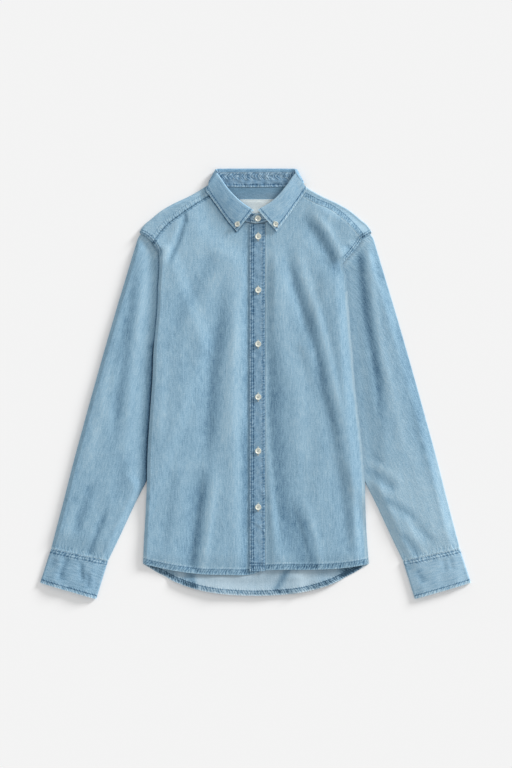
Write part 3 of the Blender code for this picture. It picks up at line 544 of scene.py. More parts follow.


# woven cotton denim, stone washed: matt twill whose indigo warp has worn to pale streaks on every ridge;
# its colour also takes painted shade and painted highlights from the tone attribute
def makeDenim(name, deep, dark, mid, pale, wornBy=1.0, seams=True):
    surface = {"Roughness": 0.88, "Specular IOR Level": 0.25, "Sheen Weight": 0.06}
    material, tree, shader = newMaterial(name, surface)
    uv = addNode(tree, "UVMap")[0]  # metres: across the warp, and along it
    # the tone attribute: wear, and painted shade and highlights of folds, edges and shadows
    wearAndShade = addNode(tree, "Attribute", attribute_name="tone")["Fac"]
    wearAndShade = addNode(tree, "Math", {0: wearAndShade, 1: 0.34, 2: 0.5}, operation="MULTIPLY_ADD")[0]
    height = 0.0
    # worn streaks 2.8 mm wide and 16 mm long, slubs 1.3 by 45 mm, grain of 1.8 by 2.6 mm, and
    # cloudy patches of 10 and 45 mm
    for across, along, detail, tint, relief in (
            (2.8, 16.0, 1.0, 0.34, 0.10), (1.3, 45.0, 0.0, 0.11, 0.04), (1.8, 2.6, 0.0, 0.27, 0.06),
            (10.0, 16.0, 1.0, 0.11, 0.14), (45.0, 45.0, 1.0, 0.13, 0.0)):
        spot = addNode(tree, "Mapping", {"Vector": uv, "Location": (across, along, 0),
                                         "Scale": (1 / (across * mm), 1 / (along * mm), 1.0)})[0]
        noise = addNode(tree, "TexNoise", {"Vector": spot, "Scale": 1.0, "Detail": detail, "Roughness": 0.5})[0]
        centred = addNode(tree, "Math", {0: noise, 1: 0.5}, operation="SUBTRACT")[0]
        wearAndShade = addNode(tree, "Math", {0: centred, 1: tint * wornBy, 2: wearAndShade}, operation="MULTIPLY_ADD")[0]
        if relief:
            height = addNode(tree, "Math", {0: centred, 1: relief * 2, 2: height}, operation="MULTIPLY_ADD")[0]
    # twill lines of a 2/1 weave, 0.7 mm apart at 27 degrees, a little uneven every 2 mm or so
    parts = addNode(tree, "SeparateXYZ", {0: uv})
    twill = addNode(tree, "Math", {0: parts[1], 1: 0.5, 2: parts[0]}, operation="MULTIPLY_ADD")[0]
    twill = addNode(tree, "Math", {0: twill, 1: 2 * math.pi / (0.7 * mm)}, operation="MULTIPLY")[0]
    spot = addNode(tree, "Mapping", {"Vector": uv, "Scale": (1 / (0.8 * mm), 1 / (2.2 * mm), 1)})[0]
    uneven = addNode(tree, "TexNoise", {"Vector": spot, "Scale": 1.0, "Detail": 1.0})[0]
    twill = addNode(tree, "Math", {0: uneven, 1: 4.5, 2: twill}, operation="MULTIPLY_ADD")[0]
    twill = addNode(tree, "Math", {0: twill}, operation="SINE")[0]
    wearAndShade = addNode(tree, "Math", {0: twill, 1: 0.05, 2: wearAndShade}, operation="MULTIPLY_ADD")[0]
    height = addNode(tree, "Math", {0: twill, 1: 0.03, 2: height}, operation="MULTIPLY_ADD")[0]
    for names in (("seamOne", "rowsOne"), ("seamTwo", "rowsTwo")) if seams else ():
        moreWearAndShade, moreHeight = seamNodes(tree, *names)
        wearAndShade = addNode(tree, "Math", {0: wearAndShade, 1: moreWearAndShade}, operation="ADD")[0]
        height = addNode(tree, "Math", {0: height, 1: moreHeight}, operation="ADD")[0]
    stops = [(0.0, linear(deep)), (0.22, linear(dark)), (0.5, linear(mid)), (1.0, linear(pale))]
    colour = addNode(tree, "ValToRGB", {0: wearAndShade}, stops)["Color"]
    tree.links.new(colour, shader.inputs["Base Color"])
    bump = addNode(tree, "Bump", {"Height": height, "Strength": 0.8, "Distance": mm})[0]
    tree.links.new(bump, shader.inputs["Normal"])
    return material


# spun cotton thread, a little paler than the cloth, with a soft gloss
def makeThread(name, code):
    material, tree, shader = newMaterial(name, {"Roughness": 0.6})
    spot = addNode(tree, "TexCoord")["Object"]
    noise = addNode(tree, "TexNoise", {"Vector": spot, "Scale": 1 / (1.5 * mm), "Detail": 1.0})[0]
    shades = [[min(1.0, v * share) for v in linear(code)[:3]] + [1.0] for share in (0.72, 1.25)]
    colour = addNode(tree, "ValToRGB", {0: noise}, [(0.0, shades[0]), (1.0, shades[1])])["Color"]
    tree.links.new(colour, shader.inputs["Base Color"])
    return material


# plain woven cotton tape: off-white, matt, a fine upright and level thread grid of 0.8 mm
def makeLabelCotton():
    material, tree, shader = newMaterial("wovenCottonTape", {"Roughness": 0.8})
    uv = addNode(tree, "UVMap")[0]
    spot = addNode(tree, "Mapping", {"Vector": uv, "Scale": (1 / (0.8 * mm), 1 / (3.0 * mm), 1)})[0]
    threads = addNode(tree, "TexNoise", {"Vector": spot, "Scale": 1.0, "Detail": 2.0})[0]
    stops = [(0.25, linear("#B3C2C8")), (0.75, linear("#DCE4E4"))]
    tree.links.new(addNode(tree, "ValToRGB", {0: threads}, stops)["Color"], shader.inputs["Base Color"])
    bump = addNode(tree, "Bump", {"Height": threads, "Strength": 0.5, "Distance": 0.2 * mm})[0]
    tree.links.new(bump, shader.inputs["Normal"])
    return material


# cast resin made like shell: off-white, glossy, with soft cloudy bands about 3 mm wide
def makeButtonResin():
    material, tree, shader = newMaterial("castShellResin", {"Roughness": 0.28, "Coat Weight": 0.3})
    spot = addNode(tree, "TexCoord")["Object"]
    cloud = addNode(tree, "TexNoise",
                    {"Vector": spot, "Scale": 1 / (3.0 * mm), "Detail": 2.0, "Distortion": 0.8})[0]
    stops = [(0.3, linear("#C4C8BC")), (0.7, linear("#E4E7DD"))]
    tree.links.new(addNode(tree, "ValToRGB", {0: cloud}, stops)["Color"], shader.inputs["Base Color"])
    return material


denim = makeDenim("washedDenimTwill", "#26445C", "#5A7F9A", "#88ABC1", "#BAD2DD")
denimInside = makeDenim("denimInsideTwill", "#4C6B80", "#7E9DB0", "#A3B9C6", "#C9D8DE", wornBy=0.5, seams=False)
denimSeamed = makeDenim("seamedDenimTwill", "#264A68", "#4F7693", "#86A9C0", "#BAD2DE")
placketDenim = makeDenim("placketDenimTwill", "#264A68", "#486F8D", "#7799B2", "#AFC9D7")
collarInside = makeDenim("denimStandTwill", "#2A4E6C", "#4A7190", "#7395AF", "#AFC9D7")
stitchThread = makeThread("blueCottonThread", "#5A7F9D")
paleThread = makeThread("undyedCottonThread", "#B9C3C2")
labelCotton = makeLabelCotton()
buttonResin = makeButtonResin()
print("materials made")


# cloth

def readCoords(mesh):
    coords = np.empty(len(mesh.vertices) * 3)
    mesh.vertices.foreach_get("co", coords)
    return coords.reshape(-1, 3)


# a wall of cloth from a grid of points on its outer side, rows by columns, with the materials of its outer
# and inner side; a tube's ends are merged, and turned is for columns that run the other way
def clothPiece(name, node, points, thickness, materials, uv, tone, seamOne=None, seamTwo=None,
               keep=None, turned=False):
    fields = {"tone": tone}
    for seamName, rowsName, parts in (("seamOne", "rowsOne", seamOne), ("seamTwo", "rowsTwo", seamTwo)):
        if parts is not None:
            fields[seamName], fields[rowsName] = parts[..., :3], parts[..., 3:]
    if turned:
        points, uv = points[:, ::-1], uv[:, ::-1]
        fields = {field: values[:, ::-1] for field, values in fields.items()}
    rows, columns = points.shape[0] - 1, points.shape[1] - 1
    bpy.ops.object.select_all(action="DESELECT")
    bpy.ops.mesh.primitive_grid_add(x_subdivisions=columns, y_subdivisions=rows, size=1)
    piece = bpy.context.active_object
    piece.name = piece.data.name = name
    mesh = piece.data
    flat = readCoords(mesh)
    column = np.rint((flat[:, 0] + 0.5) * columns).astype(int)
    row = np.rint((flat[:, 1] + 0.5) * rows).astype(int)
    mesh.vertices.foreach_set("co", (points[row, column] * mm).ravel())
    corners = np.empty(len(mesh.loops), np.int32)
    mesh.loops.foreach_get("vertex_index", corners)
    mesh.uv_layers[0].data.foreach_set("uv", (uv[row, column] * mm)[corners].ravel())
    for field, values in fields.items():
        kind, key = ("FLOAT", "value") if field == "tone" else ("FLOAT_VECTOR", "vector")
        mesh.attributes.new(field, kind, "POINT").data.foreach_set(key, values[row, column].ravel())
    for face in mesh.polygons:
        spots = list(face.vertices)
        face.select = keep is not None and not keep(min(row[spots]), min(column[spots]))
    bpy.ops.object.mode_set(mode="EDIT")
    bpy.ops.mesh.select_mode(type="FACE")
    if keep is not None:
        bpy.ops.mesh.delete(type="FACE")
    bpy.ops.mesh.select_all(action="SELECT")
    bpy.ops.mesh.remove_doubles(threshold=0.02 * mm)
    bpy.ops.object.mode_set(mode="OBJECT")
    for material in materials:
        mesh.materials.append(material)
    wall = piece.modifiers.new("wall", "SOLIDIFY")
    wall.thickness = thickness * mm
    wall.offset = -1.0
    wall.material_offset = 1
    bpy.ops.object.modifier_apply(modifier="wall")
    coords = readCoords(mesh)
    coords[:, 2] = np.maximum(coords[:, 2], 0.0)  # the wall of a sharp corner doesn't go through the table
    mesh.vertices.foreach_set("co", coords.ravel())
    mesh.shade_smooth()
    mesh.set_sharp_from_angle(angle=math.radians(65))
    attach(piece, "root")
    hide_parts(node)
    return piece


# distances walked along a grid's rows and columns, in mm
def gridLengths(points):
    lengths = np.zeros((2,) + points.shape[:2])
    lengths[0][:, 1:] = np.cumsum(np.linalg.norm(np.diff(points, axis=1), axis=2), axis=1)
    lengths[1][1:] = np.cumsum(np.linalg.norm(np.diff(points, axis=0), axis=2), axis=0)
    return lengths


# fronts

front = {"cloth": 1.2, "cells": (84, 262), "hemBand": 9.5, "armholeBand": 7.5}
# painted light along each front's edges: the yoke seam is a dark line on the left, partly the seam's own and
# partly painted shade, and a pale painted highlight on the right; sideTone is a faint painted shade in a band
# inside the side edge, and edgeTone a painted highlight on the side edge's rim, strong on the right, which
# faces the lamp
frontSeams = {
    "left": {"yokeRow": 3.6, "yokeStrength": 0.6, "yokeTone": -1.1, "yokeWide": 2.2, "sideTone": 0.0,
             "edgeTone": 0.1},
    "right": {"yokeRow": noRow, "yokeStrength": 0.2, "yokeTone": 0.6, "yokeWide": 1.3, "sideTone": -0.1,
              "edgeTone": 0.8},
}
armholeSeen = {"left": 0.2, "right": 0.27}  # how far down the armhole seam shows
collarNeck = {"x": (70.2, 56.5, 41.0, 24.0), "y": (345.0, 332.0, 319.0, 307.0)}
placket = {"left": -10.9, "right": 17.9, "top": 300.4, "bottom": -352.0, "topZ": 5.1, "cloth": 1.8,
           "cells": (22, 330), "halfWide": 14.4, "underlapRight": 14.0}


def makeFront(name, node, side, lastX):
    sign, seams, hemCorner = signOf[side], frontSeams[side], body["hemCornerY"]
    columns = yokeColumns(side, 24)
    tops = [(x, y - seamGap) for x, y in columns["seam"][::-1]]
    tops += [(body["collarX"] + sign * x, y - 2 * seamGap) for x, y in zip(collarNeck["x"], collarNeck["y"])]
    tops += [(-12.1, 302.0), (body["collarX"], 300.8), (lastX, 300.8)] if side == "left" else [(lastX, 304.0)]
    tops = np.array(tops)
    acrossCells, alongCells = front["cells"]
    sideX, sideY = tops[0]
    xTop = np.linspace(sideX, lastX, acrossCells + 1)
    order = np.argsort(tops[:, 0])
    yTop = np.interp(xTop, tops[order, 0], tops[order, 1])
    across = (xTop - sideX) / (lastX - sideX)
    corner = (sideY - body["cornerY"][side]) / (sideY - hemCorner)
    share = np.linspace(1, 0, alongCells + 1)[:, None]
    edgeY = mix(sideY, hemCorner, share)
    knots = np.array([0, corner * 0.5, corner])
    knotX = np.array([sideX, *readCurve(sideEdge, side, mix(sideY, hemCorner, knots[1:]))])
    edgeX = np.where(share < corner, np.interp(share, knots, knotX), readCurve(sideEdge, side, edgeY))
    xHem = mix(readCurve(sideEdge, side, hemCorner), lastX, across)[None, :]
    hem = readCurve(frontHem, side, np.abs(xHem), key="x")
    if side == "left":
        hem = np.where(xHem > 0, -356.0 + 0.4 * xHem, hem)
    y = mix(yTop[None, :], hem, share)
    x = mix(edgeX, lastX, across[None, :])
    z, tone = bodyTop(x, y)
    if side == "left":  # pressed down under the placket
        z = mix(z, body["rimTop"] + 0.3, ease(placket["left"] - 14.0, placket["left"] - 1.5, x))
    neckline = [tuple(spot) for spot in tops[len(columns["seam"]) - 1:]]
    armhole = armholeLine(side, 0.05, armholeSeen[side], 20)
    hemLine, yokeLine, sideLine = frontHemLine[side], yokeSeamLine[side], bodySideLine(side)
    seamOne = seamField([
        {"line": hemLine, "band": front["hemBand"], "rows": (9.8, noRow), "slant": 0.9 * -sign,
         "strength": 0.85, "groove": 0.35},
        {"line": neckline, "band": 6.0, "pucker": 6.0, "strength": 0.4},
        {"line": armhole, "band": front["armholeBand"], "rows": (4.0, 8.0), "pucker": 4.6, "strength": 0.8,
         "groove": 0.6},
    ], x, y)
    seamTwo = seamField([{"line": yokeLine, "band": 4.0, "rows": (seams["yokeRow"], noRow), "pucker": 6.2,
                          "slant": 0.3, "strength": seams["yokeStrength"], "groove": 0.35}], x, y)
    # a worn hem edge with bands inside it; then the painted light of frontSeams and the collar leaf's painted
    # shadow
    tone = tone + lineTone([
        {"line": hemLine, "tone": 0.35, "wide": 1.4},
        {"line": hemLine, "tone": -0.5, "wide": 4.0, "off": 5.5},
        {"line": hemLine, "tone": 0.45, "wide": 1.6, "off": 12.4},
        {"line": yokeLine, "tone": seams["yokeTone"], "wide": seams["yokeWide"]},
        {"line": armhole, "tone": -0.3, "wide": 1.2},
        {"line": sideLine, "tone": seams["sideTone"], "wide": 10.0, "off": 12.0},
        {"line": sideLine[:36], "tone": seams["edgeTone"], "wide": 2.8, "off": 3.2},
        leafShade[side],
    ], x, y)
    if side == "left":  # the placket's shadow on it
        tone = tone - 0.25 * ease(placket["left"] - 4.2, placket["left"] - 1.2, x) * ease(302, 294, y)
        tone = tone - 0.4 * bell(x - placket["left"] + 8.0, 7.0) * ease(302, 280, y)
    else:  # a worn line beside the placket
        tone = tone + 0.6 * bell(x - placket["right"] - 1.7, 1.2)
    upper = ease(60, 260, y) * 0.16  # the upper chest is a little paler
    return clothPiece(name, node, np.stack([x, y, z], -1), front["cloth"], (denim, denimInside),
                      np.stack([x, y], -1), tone + upper, seamOne, seamTwo, turned=side == "right")


frontUnder = makeFront("rightFrontPanel", "front_right", "left", placket["underlapRight"])
frontOver = makeFront("leftFrontPanel", "front_left", "right", placket["right"] + seamGap)
print("fronts made")


# back

back = {"cloth": 1.2, "inset": 0.8, "cells": (108, 46, 60), "hemBand": 8.6, "hemHalf": 211.0,
        "hemLift": 4.0, "liftWide": 26}  # its stiff hem doesn't lie quite flat
# its inside shows below the fronts' hems: folds up off the table there, and the folds' tones paint much
# of their light and shade
backFolds = [
    {"line": [(-116, -345), (-116, -372), (-115, -396)], "wide": (26, 4), "deep": 0.2, "tone": 1.0,
     "fade": (0.02, 0.02)},
    {"line": [(-52, -340), (-50, -402)], "wide": (44, 60), "deep": -2.2, "tone": -0.4, "fade": (0.1, 0.02)},
    {"line": [(62, -346), (50, -368), (36, -392)], "wide": (7, 7), "deep": 0.2, "tone": 1.0,
     "fade": (0.02, 0.1)},
    {"line": [(88, -345), (88, -394)], "wide": (15, 15), "deep": -2.0, "tone": -0.4, "fade": (0.2, 0.02)},
    {"line": [(78, -346), (78, -358)], "wide": (2, 2), "deep": 0.2, "tone": 0.7},
    {"line": [(130, -345), (130, -384)], "wide": (16, 18), "deep": -0.8, "tone": 0.35, "fade": (0.2, 0.02)},
    {"line": [(168, -338), (172, -366), (200, -346)], "wide": (14, 14), "deep": 0.1, "tone": 1.4,
     "fade": (0.02, 0.02)},
    {"line": [(-140, -350), (-138, -366)], "wide": (9, 9), "deep": -1.2, "tone": -0.5},
    {"line": [(-200, -338), (-168, -352), (-140, -366)], "wide": (10, 10), "deep": 0.1, "tone": 0.6},
]


def makeBack():
    acrossCells, coarse, fine = back["cells"]
    shares = np.concatenate([np.linspace(0, 0.11, fine + 1)[:-1], np.linspace(0.11, 1, coarse + 1)])[:, None]
    across = np.linspace(-1, 1, acrossCells + 1)
    across = across * (1.15 - 0.15 * across**2)
    across = (across / across[-1])[None, :]
    hem = readCurve(backHem, "y", np.abs(across) * back["hemHalf"], key="x")
    y = mix(hem, body["backSeamY"] - seamGap, shares)
    edgeY = np.maximum(y, body["hemCornerY"])
    left = readCurve(sideEdge, "left", edgeY) + back["inset"]
    right = readCurve(sideEdge, "right", edgeY) - back["inset"]
    x = mix(left, right, (across + 1) / 2)
    height, tone = foldRelief(backFolds, x, y)
    height = np.maximum(height + 0.5 * ripple(x, y, 24, 30, 50), 0)
    show = 1 - ease(-366, -352, y + 0.0004 * x**2)
    height = height + back["hemLift"] * (1 - ease(0, back["liftWide"], y - hem))
    z = liftOverSleeve(x, y, {"left": 12.0, "right": 12.0}) + height * show
    tone = tone * 0.9 + lineTone([{"line": backHemLine, "tone": 0.8, "wide": 1.3},
                                  {"line": backHemLine, "tone": -0.9, "wide": 3.6, "off": 4.8}], x, y)
    seamOne = seamField([{"line": backHemLine, "band": back["hemBand"], "rows": (8.6, noRow), "slant": 0.9}],
                        x, y)
    return clothPiece("backPanel", "back", np.stack([x, y, z], -1), back["cloth"],
                      (denim, backLining), np.stack([x, y], -1), tone, seamOne, turned=True)


backLining = makeDenim("denimBackInsideTwill", "#2F4C61", "#6C8CA2", "#9AB2C1", "#C9D8DF", wornBy=0.55)
backPanel = makeBack()
print("back made")


# sleeves and cuffs

# rings of a flattened tube: plan gives x and y, top the upper side's height and tone
def flatTube(plan, top, along, upper, lower, radius):
    along = np.asarray(along)[:, None]
    startX, startY = plan(along, 0.0 * along)
    endX, endY = plan(along, 0.0 * along + 1)
    width = np.hypot(endX - startX, endY - startY)
    runX, runY = (endX - startX) / width, (endY - startY) / width
    inset = radius / width
    overX, overY = plan(along, mix(inset, 1 - inset, np.asarray(upper)[None, :]))
    overZ, overTone = top(overX, overY)
    underX, underY = plan(along, mix(inset, 1 - inset, np.asarray(lower)[None, ::-1]))
    parts = [[overX], [overY], [overZ], [overTone]]

    def addColumns(*columns):
        for part, column in zip(parts, columns):
            part.append(column)

    def turnOver(pick, sign, turns):
        half = overZ[:, pick] / 2
        for turn in turns:
            angle = math.pi * turn / 4
            addColumns(overX[:, pick] + sign * runX * radius * math.sin(angle),
                       overY[:, pick] + sign * runY * radius * math.sin(angle),
                       half + half * math.cos(angle), overTone[:, pick])

    turnOver(slice(-1, None), 1, (1, 2, 3))
    addColumns(underX, underY, np.zeros(underX.shape), np.zeros(underX.shape))
    turnOver(slice(0, 1), -1, (3, 2, 1))
    x, y, z, tone = (np.concatenate(part + [part[0][:, :1]], axis=1) for part in parts)
    return np.stack([x, y, z], -1), tone


cuffEdge = {"outer": ((384.0, -309.3), (405.0, -373.8)), "inner": ((277.3, -332.8), (299.6, -404.4))}
cuff = {"cloth": 2.0, "swell": 3.0, "radius": 2.6, "cells": (60, 8, 44), "topZ": 4.6}
cuffFolds = {
    "left": [
        {"line": [(351, -323), (360, -346), (368, -374)], "wide": (6, 6), "deep": 1.4, "tone": 0.5},
        {"line": [(325, -333), (326, -352), (320, -374)], "wide": (5, 5), "deep": 1.2, "tone": 0.45},
        {"line": [(312, -352), (312, -388)], "wide": (5, 5), "deep": 1.0, "tone": 0.4},
        {"line": [(374, -328), (386, -348)], "wide": (6, 6), "deep": 1.0, "tone": 0.3},
    ],
    "right": [
        {"line": [(302, -346), (312, -362), (322, -376)], "wide": (9, 8), "deep": 1.3, "tone": 0.45},
        {"line": [(355, -326), (360, -356)], "wide": (6, 6), "deep": 0.9, "tone": 0.25},
        {"line": [(368, -324), (372, -352)], "wide": (5, 5), "deep": 0.8, "tone": 0.2},
        {"line": [(284, -338), (290, -352)], "wide": (5, 5), "deep": 1.0, "tone": 0.4},
    ],
}


def cuffPlan(along, across):
    (outX0, outY0), (outX1, outY1) = cuffEdge["outer"]
    (inX0, inY0), (inX1, inY1) = cuffEdge["inner"]
    x = mix(mix(outX0, outX1, along), mix(inX0, inX1, along), across)
    y = mix(mix(outY0, outY1, along), mix(inY0, inY1, along), across)
    return x, y


# a cuff's line at the sleeve (0) or at its opening (1)
def cuffLine(side, end):
    return [(signOf[side] * x, y) for x, y in (cuffEdge["outer"][end], cuffEdge["inner"][end])]


def makeSleeve(name, node, side):
    sign = signOf[side]
    over, under, count = sleeve["cells"]

    def plan(along, across):
        if side == "right":
            across = 1 - across
        x, y = sleevePlan(side, along, across)
        run = sleeve["tuckUnder"] * np.maximum(0.0, 1 - along * 60)
        x = sign * (x + sleeve["armholeInward"][0] * run)
        return x, y + sleeve["armholeInward"][1] * run + seamGap * along

    upper = np.linspace(0, 1, over + 1) ** 1.25
    lower = np.linspace(0, 1, under + 1) ** 1.8
    if side == "right":
        upper, lower = 1 - upper[::-1], 1 - lower[::-1]
    along = (np.linspace(0, 1, count + 1) ** 1.04)[::-1]
    points, tone = flatTube(plan, lambda x, y: sleeveTop(side, x, y), along, upper, lower, sleeve["turnRadius"])
    x, y = points[..., 0], points[..., 1]
    under = -sign * lineCoords(armholeLine(side, 0, 0.5, 40), x, y)[1]
    under = ease(-1.8, 0.0, under) * ease(-40, -20, y - body["cornerY"][side])
    points[..., 2] = mix(points[..., 2], np.minimum(points[..., 2], 1.6), under)
    armhole = armholeLine(side, 0, armholeSeen[side], 20)
    cuffSeam, sideLine = cuffLine(side, 0), bodySideLine(side)
    broadPaintedShading, thinPaintedShading = sleeve["paintedShadingBesideBody"][side]
    seamOne = seamField([{"line": armhole, "band": 8.0, "strength": 0.35},
                         {"line": cuffSeam, "band": 8.0, "pucker": 7.0, "strength": 0.55, "slant": 0.1}], x, y)
    outerY = np.linspace(283, -309, 30)
    # painted light on the sleeve: a faint painted shade along the outer fold, the body's painted shadow beside
    # its edge, and a paler band beside the armhole that lightens the shade where the sleeve's end sinks under
    # the body; a pale line at the cuff seam
    tone = tone + lineTone([
        {"line": lineOf(sign * readCurve(sleeveOuter, "x", outerY), outerY), "tone": -0.1, "wide": 8.0,
         "off": 6.0},
        {"line": sideLine[:28], "tone": broadPaintedShading, "wide": 10.0},
        {"line": sideLine, "tone": thinPaintedShading, "wide": 2.4},
        {"line": armhole, "tone": 0.4, "wide": 8.0, "off": 4.0},
        {"line": cuffSeam, "tone": 0.7, "wide": 2.4},
    ], x, y)
    if side == "right":  # this lower sleeve faces the light
        tone = tone + 0.42 * ease(-60, -220, y)
    return clothPiece(name, node, points, sleeve["cloth"], (denim, denimInside),
                      np.stack([gridLengths(points)[0], y], -1), tone, seamOne)


def makeCuff(name, node, side):
    sign = signOf[side]
    over, under, count = cuff["cells"]

    def plan(along, across):
        if side == "right":
            across = 1 - across
        x, y = cuffPlan(along, across)
        return sign * x, y

    (outX0, outY0), (outX1, outY1) = cuffEdge["outer"]
    (inX0, inY0), (inX1, inY1) = cuffEdge["inner"]
    middle = np.array([(outX0 + outX1 + inX0 + inX1) / 4, (outY0 + outY1 + inY0 + inY1) / 4])
    run = np.array([inX0 - outX0, inY0 - outY0])
    run = run / np.linalg.norm(run)

    def top(x, y):
        away = np.abs((np.abs(x) - middle[0]) * run[0] + (y - middle[1]) * run[1])
        height, tone = foldRelief(cuffFolds[side], np.abs(x), y, sign)
        height = height + 0.4 * ripple(x, y, 18, 14, 60)
        z = cuff["topZ"] + np.maximum((cuff["swell"] + height) * (1 - ease(30, 54, away)), -0.4)
        return z, tone + 0.06 * creases(x, y, 24, 10, 61)

    along = np.linspace(1, 0, count + 1)
    upper, lower = np.linspace(0, 1, over + 1), np.linspace(0, 1, under + 1)
    points, tone = flatTube(plan, top, along, upper, lower, cuff["radius"])
    x, y = points[..., 0], points[..., 1]
    seamLine, openLine = cuffLine(side, 0), cuffLine(side, 1)
    tone = tone + lineTone([{"line": seamLine, "tone": 0.5, "wide": 1.6},
                            {"line": openLine, "tone": 0.8, "wide": 1.7}], x, y)
    # painted light: the cuff on the right, on the lamp's side, is painted paler all over
    if side == "right":
        tone = tone + 0.3
    seamOne = seamField([{"line": seamLine, "band": 8.0, "rows": (2.0, 7.4), "pucker": 6.5, "slant": 0.3,
                          "groove": 0.55}], x, y)
    seamTwo = seamField([{"line": openLine, "band": 6.6, "rows": (6.4, noRow), "pucker": 6.0, "slant": 0.9}],
                        x, y)
    return clothPiece(name, node, points, cuff["cloth"], (denimSeamed, denimInside),
                      np.stack(gridLengths(points)[::-1], -1), tone, seamOne, seamTwo)


for name, node, side in (("rightSleeve", "sleeve_right", "left"), ("leftSleeve", "sleeve_left", "right")):
    piece = makeSleeve(name, node, side)
for name, node, side in (("rightCuff", "cuff_right", "left"), ("leftCuff", "cuff_left", "right")):
    piece = makeCuff(name, node, side)
print("sleeves and cuffs made")


# yoke

neckLower = {"x": (0, 32, 55, 73), "y": (370.0, 370.2, 371.0, 373.0)}


def necklineRaise(x, y):
    aside = np.abs(x - body["collarX"])
    return yoke["leafRaise"] * ease(346.0, 361.0, y) * (1 - ease(60.0, 72.0, aside))


def yokeWing(side):
    count, frontRows, backRows = yoke["cells"][:3]
    sign = signOf[side]
    source = yokeColumns(side, count)
    normal = np.array([sign * 0.5, 0.866])
    fold = source["top"] - normal * yoke["edgeRadius"]
    share = np.linspace(0, 1, frontRows + 1)[None, :, None]
    spots = mix(source["seam"][:, None, :], fold[:, None, :], share)
    # the last columns follow the armhole's curve
    shares = np.linspace(0, 1, frontRows + 1)
    endX, endY = sleevePlan(side, 0.0 * shares, yoke["frontEnd"][side] * (1 - shares))
    bent = mix(np.stack([sign * endX, endY], -1), fold[-1][None, :], (shares**4)[:, None]) - spots[-1]
    follow = ease(0.62, 1.0, source["across"])[:, None, None]
    spots = spots + bent[None] * follow
    z, tone = bodyTop(spots[..., 0], spots[..., 1])
    points = [np.concatenate([spots, z[..., None]], -1)]
    tones = [tone]
    half = z[:, -1:] / 2
    for turn in (1, 2, 3):
        angle = math.pi * turn / 4
        spot = spots[:, -1:, :] + normal * yoke["edgeRadius"] * math.sin(angle)
        points.append(np.concatenate([spot, (half + half * math.cos(angle))[..., None]], -1))
        tones.append(tone[:, -1:])
    share = np.linspace(0, 1, backRows + 1)[None, :, None]
    spots = mix(fold[:, None, :], source["back"][:, None, :], share)
    shares = np.linspace(0, 1, backRows + 1)
    endX, endY = sleevePlan(side, 0.0 * shares, yoke["backEnd"][side] * shares)
    bent = mix(np.stack([sign * endX, endY], -1), fold[-1][None, :], ((1 - shares) ** 4)[:, None]) - spots[-1]
    spots = spots + bent[None] * follow
    z = necklineRaise(spots[..., 0], spots[..., 1])
    points.append(np.concatenate([spots, z[..., None]], -1))
    tones.append(np.zeros(z.shape))
    return np.concatenate(points, 1), np.concatenate(tones, 1)


def makeYoke():
    count, frontRows, backRows, neckCells = yoke["cells"]
    leftPoints, leftTone = yokeWing("left")
    rightPoints, rightTone = yokeWing("right")
    aside = np.linspace(-73, 73, neckCells + 1)
    neckX = body["collarX"] + aside
    neckY = np.interp(np.abs(aside), neckLower["x"], neckLower["y"]) - seamGap
    share = np.linspace(0, 1, backRows + 1)[None, :] ** 1.4
    y = mix(neckY[:, None], body["backSeamY"], share)
    x = np.broadcast_to(neckX[:, None], y.shape)
    middle = np.stack([x, y, necklineRaise(x, y)], -1)
    skipped = frontRows + 4
    middle = np.concatenate([np.repeat(middle[:, :1], skipped, 1), middle], 1)
    grid = np.concatenate([leftPoints[::-1], middle, rightPoints], 0).transpose(1, 0, 2)
    tone = np.concatenate([leftTone[::-1], np.zeros(middle.shape[:2]), rightTone], 0).T
    x, y = grid[..., 0], grid[..., 1]
    upperSide = np.zeros(x.shape)
    upperSide[:frontRows + 2] = 1
    # paler all over, and painted light: paler still towards the right, the lamp's side
    tone = tone + 0.18 + 0.15 * ease(0, 80, x)
    tone = tone + upperSide * lineTone([
        {"line": yokeSeamLine["left"], "tone": -0.9, "wide": 1.3},
        {"line": yokeSeamLine["right"], "tone": -0.7, "wide": 4.0, "off": 4.4},
        {"line": armholeLine("left", 0, 0.14, 12), "tone": -0.3, "wide": 1.2},
        {"line": armholeLine("right", 0, 0.1, 12), "tone": -0.5, "wide": 4.0},
        leafShade["left"], leafShade["right"],
    ], x, y)
    # on the yoke's inside: painted shade under the collar's back edge and beside the neck's sides, deepest on
    # the right, and a paler band lower down
    tone = tone + lineTone([
        {"line": [(-70, 300), (0, 306), (72, 300)], "tone": 0.3, "wide": 14},
        {"line": [(62, 372), (74, 350), (76, 330)], "tone": -1.0, "wide": 14},
        {"line": [(-62, 372), (-72, 352), (-70, 330)], "tone": -0.6, "wide": 9},
        {"line": [(-70, 366), (0, 364), (70, 366)], "tone": -0.5, "wide": 7},
    ], x, y) * (1 - upperSide)
    seamOne = seamField([
        {"line": yokeSeamLine["left"], "band": 7.0, "pucker": 4.6, "slant": 0.4, "strength": 0.7},
        {"line": yokeSeamLine["right"], "band": 7.0, "rows": (8.2, noRow), "pucker": 4.6, "slant": 0.4,
         "strength": 0.7, "groove": 0.45},
    ], x, y)
    seamTwo = seamField([{"line": armholeLine(side, 0, 0.14, 12), "band": 7.5, "rows": (4.0, 8.0),
                          "pucker": 4.4, "strength": 0.8, "groove": 0.6} for side in signOf], x, y)
    for part in (seamOne, seamTwo):
        part[..., 2] *= upperSide

    def keep(row, column):
        return row >= skipped or not count <= column <= count + neckCells + 1

    return clothPiece("backYoke", "yoke", grid, yoke["cloth"], (denim, yokeInside),
                      np.stack([y, x], -1), tone, seamOne, seamTwo, keep)


yokeInside = makeDenim("denimYokeInsideTwill", "#2A4960", "#52768D", "#7396AE", "#A9C2D0", wornBy=0.6,
                       seams=False)
backYoke = makeYoke()
print("yoke made")


# placket

